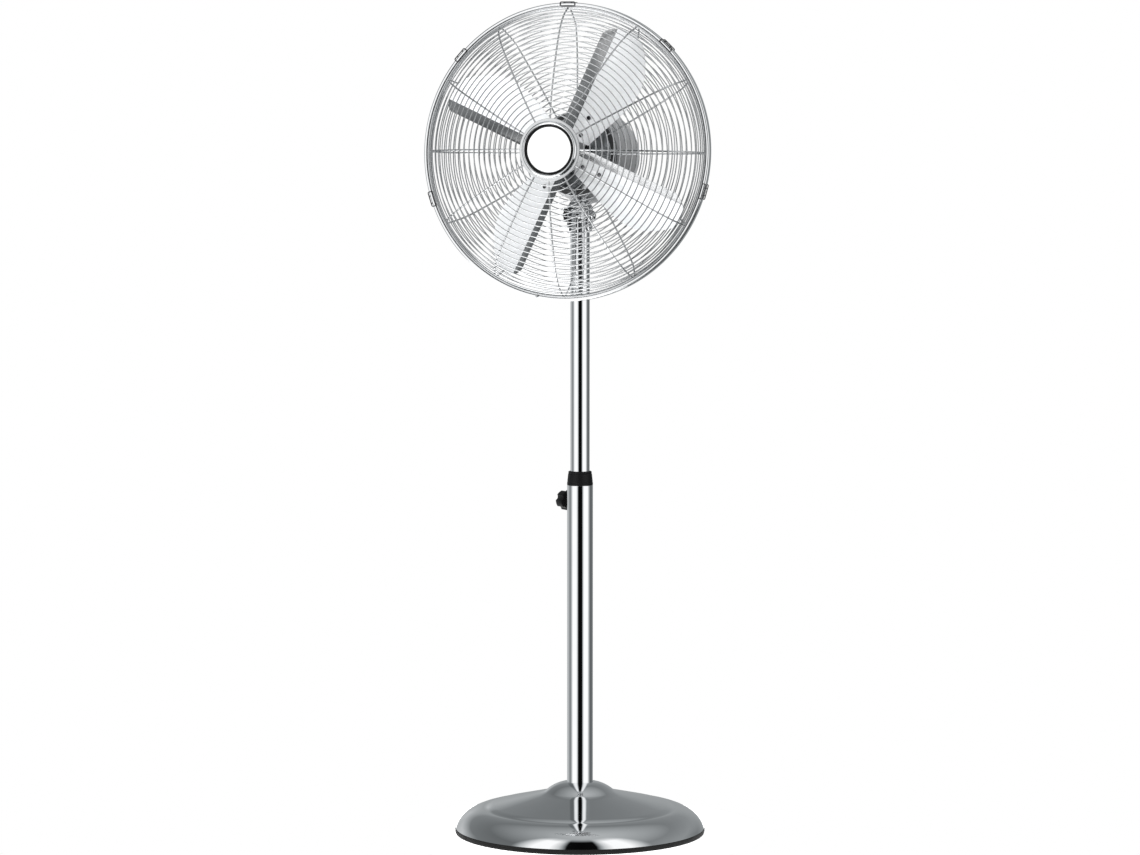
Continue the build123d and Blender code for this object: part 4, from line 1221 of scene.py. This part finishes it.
@dataclass
class WireGuard(SubAssembly):
    """The cage's front half: hub plate, bent spokes, ring wires and rim wire."""

    body = "head"
    name: str = "front"
    node: str = "front_guard"
    side: int = 1
    rim_plane: float = 0.076
    rim_radius: float = 0.214
    rim_wire: float = 0.0028
    rim_lift: float = 0.0027
    spoke_wire: float = 0.0012
    ring_wire: float = 0.00085
    spoke_count: int = 12
    ring_count: int = 21
    plate_radius: float = 0.046
    plate_bore: float = 0.030
    plate_half: float = 0.0012
    weld: float = 0.0002
    knots: tuple[Pair, ...] = (
        (0.0435, 0.083), (0.073, 0.0800), (0.125, 0.0655), (0.171, 0.0475), (0.197, 0.0285), (0.2105, 0.0085),
    )
    spoke_wrap: float = 0.0008
    spoke_steps: int = 10
    # the first ring stands this share of a step from the hub plate
    first_ring: float = 0.35
    spoke_sides: int = 10
    ring_sides: int = 8
    rim_sides: int = 14
    plate_segments: int = 120
    segments: int = 180

    def spoke_line(self) -> list[Pair]:
        """Middle of a spoke from the hub to where it wraps over the rim wire, as (radius, depth)."""
        wrapped = (self.rim_radius - self.spoke_wrap, self.rim_lift)
        return spline_points([*self.knots, wrapped], self.spoke_steps)

    def ring_places(self) -> list[Pair]:
        """Even steps along the spokes, on the side that the rings are welded to.

        Returns:
            (radius, depth) of each ring wire's middle.
        """
        line = self.spoke_line()
        lengths = [hypot(b[0] - a[0], b[1] - a[1]) for a, b in zip(line, line[1:])]
        start = self.plate_radius + 2 * self.ring_wire
        skipped = next(i for i, point in enumerate(line) if point[0] > start)
        run = sum(lengths[skipped:]) - 2 * self.rim_wire
        step = run / self.ring_count
        places = []
        walked, wanted = 0.0, step * self.first_ring
        for (near, far), length in zip(zip(line[skipped:], line[skipped + 1:]), lengths[skipped:]):
            while wanted <= walked + length and len(places) < self.ring_count:
                share = (wanted - walked) / length
                out = ((near[1] - far[1]) / length, (far[0] - near[0]) / length)
                lift = self.side * (self.spoke_wire + self.ring_wire - self.weld)
                radius = near[0] + (far[0] - near[0]) * share + out[0] * lift
                depth = near[1] + (far[1] - near[1]) * share + out[1] * lift
                places.append((radius, depth))
                wanted += step
            walked += length
        return places

    def _ring(self, cage: Sculpt, radius: float, depth: float, wire: float, sides: int) -> None:
        """Add one ring wire.

        Args:
            cage: where it is added.
            radius: the ring's radius.
            depth: distance from the rim plane.
            wire: the wire's radius.
            sides: sides of its section.
        """
        place = head_place()
        ahead = self.rim_plane + self.side * depth
        path = [place.turned(TURN * step / self.segments, radius, ahead) for step in range(self.segments)]
        cage.wire(path, wire, sides, True, place.ahead)

    def build(self) -> None:
        """One piece of wirework and its hub plate."""
        place = head_place()
        cage = Sculpt()
        for spoke in range(self.spoke_count):
            angle = TURN / 4 + TURN * spoke / self.spoke_count
            path = [
                place.turned(angle, radius, self.rim_plane + self.side * depth)
                for radius, depth in self.spoke_line()
            ]
            sideways = place.across * -sin(angle) + place.up * cos(angle)
            cage.wire(path, self.spoke_wire, self.spoke_sides, False, sideways)
        for radius, depth in self.ring_places():
            self._ring(cage, radius, depth, self.ring_wire, self.ring_sides)
        self._ring(cage, self.rim_radius, self.rim_lift, self.rim_wire, self.rim_sides)
        title = f"{self.name}_grille"
        self.put(title, cage.mesh(title, Crease.WIRE), Look.WIRE_CHROME, [self.node])
        depth = self.rim_plane + self.side * self.knots[0][1]
        corners = [
            (depth - self.plate_half, self.plate_bore),
            (depth - self.plate_half, self.plate_radius),
            (depth + self.plate_half, self.plate_radius),
            (depth + self.plate_half, self.plate_bore),
        ]
        title = f"{self.name}_hub_plate"
        plate = lathe_mesh(title, place, rounded_corners(corners, self.plate_half / 2), self.plate_segments)
        self.put(title, plate, Look.WIRE_CHROME)


@dataclass
class RearGuard(WireGuard):
    """The cage's rear half, flatter, with a small bore for the motor's neck."""

    name: str = "rear"
    node: str = "rear_guard"
    side: int = -1
    plate_radius: float = 0.054
    plate_bore: float = 0.0142
    knots: tuple[Pair, ...] = (
        (0.0505, 0.050), (0.113, 0.0500), (0.147, 0.0470), (0.186, 0.0390), (0.204, 0.021), (0.2115, 0.0085),
    )


@dataclass
class TrimHoop(SubAssembly):
    """Bright hoop that holds the two halves together, with its clips and screw."""

    body = "head"
    plane: float = 0.076
    radius: float = 0.2205
    wall: float = 0.0012
    half_width: float = 0.0065
    lip: float = 0.0045
    shoulder: float = 0.0015
    edge_round: float = 0.0009
    clip_angles: tuple[float, ...] = (90.0, 139.0, 199.0, 345.0, 46.0)
    clip_half: float = 0.012
    clip_inner: float = 0.2146
    clip_wire: float = 0.0008
    clip_sink: float = 0.00015
    clip_bend: float = 0.002
    clip_sides: int = 8
    screw_edge: float = 0.0004
    segments: int = 288

    def outline(self) -> list[Pair]:
        """The hoop's open C section.

        Returns:
            (distance ahead, radius) of each corner, as a loop.
        """
        back, front = self.plane - self.half_width, self.plane + self.half_width
        low, wall = self.radius - self.lip, self.wall
        corners = [
            (back, low),
            (back, self.radius - self.shoulder),
            (back + self.shoulder, self.radius),
            (front - self.shoulder, self.radius),
            (front, self.radius - self.shoulder),
            (front, low),
            (front - wall, low),
            (front - wall, self.radius - wall),
            (back + wall, self.radius - wall),
            (back + wall, low),
        ]
        return rounded_corners(corners, self.edge_round)

    def _spot(self, turn: float, along: float, radius: float, ahead: float) -> Vector:
        """A point of a clip.

        Args:
            turn: the clip's angle round the hoop.
            along: distance from the clip's middle along the hoop.
            radius: distance from the shaft.
            ahead: distance ahead of the hoop's middle plane.

        Returns:
            The point in the part's frame.
        """
        across = cos(turn) * radius - sin(turn) * along
        up = sin(turn) * radius + cos(turn) * along
        return head_place().point(across, up, self.plane + ahead)

    def clips(self) -> Any:
        """Spring clips: a wire loop on each face of the hoop and two bars across it.

        Returns:
            The clips' mesh.
        """
        place = head_place()
        shape = Sculpt()
        wire = self.clip_wire
        inner, outer = self.clip_inner + wire, self.radius + wire - self.clip_sink
        half = self.clip_half - wire
        corners = [(-half, inner), (half, inner), (half, outer), (-half, outer)]
        loop = rounded_corners(corners, self.clip_bend)
        face = self.half_width + wire - self.clip_sink
        for degree in self.clip_angles:
            turn = radians(degree)
            for side in (-face, face):
                path = [self._spot(turn, along, radius, side) for along, radius in loop]
                shape.wire(path, wire, self.clip_sides, True, place.ahead)
            for along in (-half / 2, half / 2):
                lengthwise = place.across * -sin(turn) + place.up * cos(turn)
                path = [self._spot(turn, along, outer, side) for side in (-face, face)]
                shape.wire(path, wire, self.clip_sides, False, lengthwise)
        return shape.mesh("hoop_clips", Crease.ROUNDED)

    def build(self) -> None:
        """Hoop, clips and the joint's screw."""
        hoop = lathe_mesh("trim_hoop", head_place(), self.outline(), self.segments, Crease.ROUNDED)
        self.put("trim_hoop", hoop, Look.TUBE_CHROME, ["guard_hoop"])
        self.put("hoop_clips", self.clips(), Look.CLIP_CHROME, ["guard_clips"])
        self.round_off("hoop_joint_screw", "hoop_screw", self.screw_edge, Look.ZINC)


@dataclass
class Badge(SubAssembly):
    """Bare round badge in a bright bezel, with its backing plate."""

    body = "head"
    seat: float = 0.1602
    radius: float = 0.0365
    bezel: float = 0.042
    bezel_height: float = 0.005
    # the bezel's outer and inner side end at these shares of its height
    crest_low: float = 0.45
    crest_high: float = 0.5
    crest_slope: float = 0.0022
    crest_inset: float = 0.001
    crest_round: float = 0.0014
    crest_steps: int = 6
    thickness: float = 0.0025
    groove: float = 0.0032
    # the black ring of painted shade in the groove has its edges rounded by its width divided by this
    shade_ring_parts: int = 8
    play: float = 0.0003
    # the disc's chamfer as (depth, width)
    disc_edge: Pair = (0.0004, 0.0005)
    # rise over the chamfer and share of the disc's radius where the dome flattens
    dome: Pair = (0.0002, 0.6)
    # rise over the chamfer and radius of the disc's middle
    crown: Pair = (0.0003, 0.0005)
    segments: int = 160

    def bezel_outline(self) -> list[Pair]:
        """The bezel's section, with a rolled crest.

        Returns:
            (distance ahead, radius) of each corner, as a loop.
        """
        inner, front = self.radius + self.play, self.seat + self.bezel_height
        corners = [
            (self.seat, inner),
            (self.seat, self.bezel),
            (self.seat + self.bezel_height * self.crest_low, self.bezel),
            (front, self.bezel - self.crest_slope),
            (front, inner + self.crest_inset),
            (self.seat + self.bezel_height * self.crest_high, inner),
        ]
        return rounded_corners(corners, self.crest_round, self.crest_steps)

    def build(self) -> None:
        """Bezel with a rolled crest, satin disc and a black ring between them that is painted shade for the
        groove.
        """
        place = head_place()
        bezel = lathe_mesh("badge_ring", place, self.bezel_outline(), self.segments, Crease.ROUNDED)
        self.put("badge_ring", bezel, Look.HOUSING_CHROME, ["badge_bezel"])
        face = self.seat + self.thickness
        disc_radius = self.radius - self.groove
        disc = [
            (self.seat, self.crown[1]),
            (self.seat, disc_radius),
            (face - self.disc_edge[0], disc_radius),
            (face, disc_radius - self.disc_edge[1]),
            (face + self.dome[0], disc_radius * self.dome[1]),
            (face + self.crown[0], self.crown[1]),
        ]
        plate = lathe_mesh("badge_face", place, disc, self.segments, Crease.DISC)
        self.put("badge_face", plate, Look.BADGE_SATIN, ["badge_disc"])
        # painted shade: a black ring fills the groove between the disc and the bezel
        shade_ring_corners = [
            (self.seat, disc_radius), (self.seat, self.radius), (face, self.radius), (face, disc_radius),
        ]
        section = rounded_corners(shade_ring_corners, self.groove / self.shade_ring_parts)
        ring = lathe_mesh("badge_groove_shade", place, section, self.segments)
        self.put("badge_groove_shade", ring, Look.BLACK_PLASTIC)
        self.dress(Look.ZINC, "badge_back", "badge_screws")


@dataclass
class Fan(SubAssembly):
    """Hub, four folded blades, their rivets and the nut in front."""

    body = "rotor"
    blade_count: int = 4
    first_blade: float = 65.6
    fold: float = -0.0042
    edge: float = 0.0003
    rivet_edge: float = 0.0008
    spinner_edge: float = 0.0012
    round_steps: int = 3

    def paint_roll_shade(self, blade: Any, angle: float) -> None:
        """Give the strip behind a blade's fold a darker copy of the blade's polish: painted shade that stands
        in for the dark surroundings it reflects.

        Args:
            blade: the blade.
            angle: the blade's direction in radians, counter-clockwise as seen from the front, and 0 on the
                fan's left-hand side.
        """
        place = head_place()
        # painted shade: faces behind the fold get the darker copy of the polish
        blade.data.materials.append(Look.BLADE_ROLL_PAINTED_SHADE.value.material())
        for face in blade.data.polygons:
            reach = face.center - place.origin
            across = reach.dot(place.across) * sin(angle) - reach.dot(place.up) * cos(angle)
            face.material_index = int(across < self.fold)

    def build(self) -> None:
        """Polish the blades and round what holds them."""
        for number in range(self.blade_count):
            node = f"blade_{number + 1}"
            blade = self.round_off(f"{node}_sheet", node, self.edge, Look.BLADE_POLISH)
            self.paint_roll_shade(blade, radians(self.first_blade + number * degrees(TURN) / self.blade_count))
        self.dress(Look.CAST_ALUMINIUM, "blade_hub")
        self.round_off("rivet_heads", "blade_rivets", self.rivet_edge, Look.CLIP_CHROME, self.round_steps)
        self.round_off("spinner", "spinner_nut", self.spinner_edge, Look.BLACK_PLASTIC, self.round_steps)


# ---------------------------------------------------------------------------------------------- studio
@dataclass(frozen=True)
class SoftLamp:
    """A large square lamp that lights matt surfaces and doesn't show in the chrome.

    Its turn from the camera's side and its rise above the horizon are in degrees, and its power in watts.
    """

    name: str
    turn: float
    rise: float
    away: float
    size: float
    power: float

    def place(self, azimuth: float, middle: Vector) -> None:
        """Hang the lamp and point it at the fan.

        Args:
            azimuth: the camera's side, in degrees.
            middle: the point that the lamp faces.
        """
        data = bpy.data.lights.new(self.name, "AREA")
        data.size = self.size
        data.energy = self.power
        lamp = bpy.data.objects.new(self.name, data)
        bpy.context.scene.collection.objects.link(lamp)
        angle, lift = radians(azimuth + self.turn), radians(self.rise)
        way = Vector((sin(angle) * cos(lift), -cos(angle) * cos(lift), sin(lift)))
        lamp.location = middle + way * self.away
        lamp.rotation_euler = (-way).to_track_quat("-Z", "Y").to_euler()
        lamp.visible_glossy = False
        lamp.visible_camera = False


@dataclass
class Studio:
    """White floor, studio surroundings, soft lamps and the camera."""

    azimuth: float = 16.8
    distance: float = 6.043
    height: float = 1.1344
    pitch: float = -4.912
    aim: float = 0.143
    image_width: int = 1140
    focal_pixels: float = 4033.0
    sensor_width: float = 36.0
    sight: float = 100.0
    floor_radius: float = 0.28
    floor_rings: int = 12
    floor_sides: int = 96
    floor_colour: Colour = (0.86, 0.86, 0.86)
    floor_glow: float = 0.62
    glare: float = 1.25
    dim_tone: Colour = (0.9, 0.97, 1.0)
    lamp_aim: float = 0.65
    lamps: tuple[SoftLamp, ...] = (
        SoftLamp("key_lamp", turn=-35.0, rise=38.0, away=3.2, size=2.0, power=95.0),
        SoftLamp("fill_lamp", turn=45.0, rise=25.0, away=3.4, size=2.4, power=60.0),
        SoftLamp("top_lamp", turn=0.0, rise=84.0, away=3.0, size=2.4, power=70.0),
    )
    # how far the room is turned from the camera's side, and how fast its right and left begin
    room_turn: float = 2.0
    side_rate: float = 6.0
    # where the back half begins, how fast it takes over, and how much brighter the ceiling is on the right
    half_start: float = 0.3
    half_rate: float = 8.0
    ceiling_slant: float = 0.3

    # brightness by angle from straight behind the camera (0) to straight behind the fan (1)
    bands: tuple[Pair, ...] = (
        (0.0, 0.002), (0.095, 0.003), (0.145, 0.6), (0.2, 0.95), (0.38, 0.95), (0.46, 0.45),
        (0.54, 0.14), (0.63, 0.11), (0.73, 0.15), (0.84, 0.24), (0.93, 0.3),
    )
    # share of the bands by sine of the height above the horizon, in the front half and in the back half
    front_reach: tuple[Pair, ...] = ((0.0, 1.0), (0.9, 1.0), (0.97, 0.0))
    back_reach: tuple[Pair, ...] = ((0.0, 1.0), (0.16, 1.0), (0.36, 0.0))
    # brightness of the ceiling by sine of the height above the horizon
    ceiling: tuple[Pair, ...] = (
        (0.0, 0.3), (0.34, 0.22), (0.64, 0.17), (0.87, 0.3), (0.95, 0.36), (1.0, 0.42),
    )
    # a dark card low on the right and a white one low on the left, by sine of the depth below the horizon
    low_dark: tuple[Pair, ...] = ((0.0, 0.0), (0.3, 0.0), (0.4, 1.0))
    low_white: tuple[Pair, ...] = ((0.0, 0.0), (0.5, 0.0), (0.62, 2.0))
    # where the dark card stands and where the left side is brighter, by angle from behind the camera
    dark_side: tuple[Pair, ...] = ((0.0, 0.0), (0.15, 0.0), (0.22, 1.0), (0.7, 1.0), (0.78, 0.0))
    left_side: tuple[Pair, ...] = ((0.0, 0.0), (0.5, 0.0), (0.6, 0.14), (0.7, 0.3), (0.8, 0.3), (0.9, 0.14))

    def make_camera(self) -> None:
        """Place the camera."""
        turn = radians(self.azimuth)
        data = bpy.data.cameras.new("camera")
        camera = bpy.data.objects.new("camera", data)
        bpy.context.scene.collection.objects.link(camera)
        data.sensor_width = self.sensor_width
        data.lens = self.focal_pixels / self.image_width * data.sensor_width
        data.clip_end = self.sight
        camera.location = (sin(turn) * self.distance, -cos(turn) * self.distance, self.height)
        camera.rotation_euler = (radians(RIGHT_ANGLE + self.pitch), 0.0, turn + radians(self.aim))
        bpy.context.scene.camera = camera

    def make_world(self) -> None:
        """Soft boxes, dark flags and a white backdrop, all as functions of direction alone."""
        world = bpy.data.worlds.new("studio")
        bpy.context.scene.world = world
        world.use_nodes = True
        graph = Graph(world.node_tree)
        direction = graph.add("ShaderNodeTexCoord").outputs["Generated"]
        turn = {"Vector": direction, "Angle": -radians(self.azimuth + self.room_turn)}
        turned = graph.add("ShaderNodeVectorRotate", {"rotation_type": "Z_AXIS"}, turn).outputs["Vector"]
        parts = graph.add("ShaderNodeSeparateXYZ", None, {"Vector": turned})
        x, y, z = (Term(graph, parts.outputs[name]) for name in ("X", "Y", "Z"))
        sweep = abs(x.arctan2(-y)) / pi
        rise, depth = z.clamped(), (-z).clamped()
        right, left = (x * self.side_rate).clamped(), (x * -self.side_rate).clamped()
        behind = ((sweep - self.half_start) * self.half_rate).clamped()
        share = graph.ramp(rise, self.front_reach) * (1 - behind) + graph.ramp(rise, self.back_reach) * behind
        overhead = graph.ramp(rise, self.ceiling) * (1 + x * self.ceiling_slant)
        level = graph.ramp(sweep, self.bands) * share + overhead * (1 - share)
        level = level * (1 - graph.ramp(depth, self.low_dark) * graph.ramp(sweep, self.dark_side) * right)
        level = level + graph.ramp(sweep, self.left_side) * left * share
        level = (level + graph.ramp(depth, self.low_white) * left) * self.glare
        camera_ray = graph.rays("Camera")
        seen = level * (1 - camera_ray) + camera_ray
        tone = graph.tinted(seen.clamped(), self.dim_tone, WHITE)
        glow = graph.add("ShaderNodeBackground", None, {"Color": tone, "Strength": seen})
        graph.add("ShaderNodeOutputWorld", None, {"Surface": glow.outputs["Background"]})

    def make_floor(self) -> None:
        """A round white floor that keeps the fan's shadow and fades into the backdrop."""
        shape = Sculpt()
        rings = []
        angles = [TURN * side / self.floor_sides for side in range(self.floor_sides)]
        for step in range(1, self.floor_rings + 1):
            radius = self.floor_radius * step / self.floor_rings
            rings.append([Vector((radius * cos(angle), radius * sin(angle), 0.0)) for angle in angles])
        shape.grid(rings, closed_rows=True, closed_columns=False)
        shape.cap(rings[0])
        floor = bpy.data.objects.new("studio_floor", shape.mesh("studio_floor"))
        bpy.context.scene.collection.objects.link(floor)
        paint = bpy.data.materials.new("studio_floor")
        paint.use_nodes = True
        graph = Graph(paint.node_tree)
        matt = graph.add("ShaderNodeBsdfDiffuse", None, {"Color": self.floor_colour})
        seen = graph.rays("Camera", "Glossy", "Transmission") * self.floor_glow
        glow = graph.add("ShaderNodeEmission", None, {"Color": WHITE, "Strength": seen})
        both = graph.add("ShaderNodeAddShader", None, {0: matt.outputs["BSDF"], 1: glow.outputs["Emission"]})
        graph.add("ShaderNodeOutputMaterial", None, {"Surface": both.outputs["Shader"]})
        floor.data.materials.append(paint)

    def build(self) -> None:
        """Make the whole studio."""
        self.make_camera()
        self.make_world()
        self.make_floor()
        for lamp in self.lamps:
            lamp.place(self.azimuth, Vector((0.0, 0.0, self.lamp_aim)))
        bpy.context.scene.view_settings.view_transform = "Standard"


def main() -> None:
    """Build the studio and every sub-assembly in order."""
    Studio().build()
    parts = (
        Base(), Column(), TiltJoint(), Motor(), RearGuard(), Fan(), WireGuard(), TrimHoop(), Badge(),
    )
    for part in parts:
        part.build()


if __name__ == "__main__":
    main()
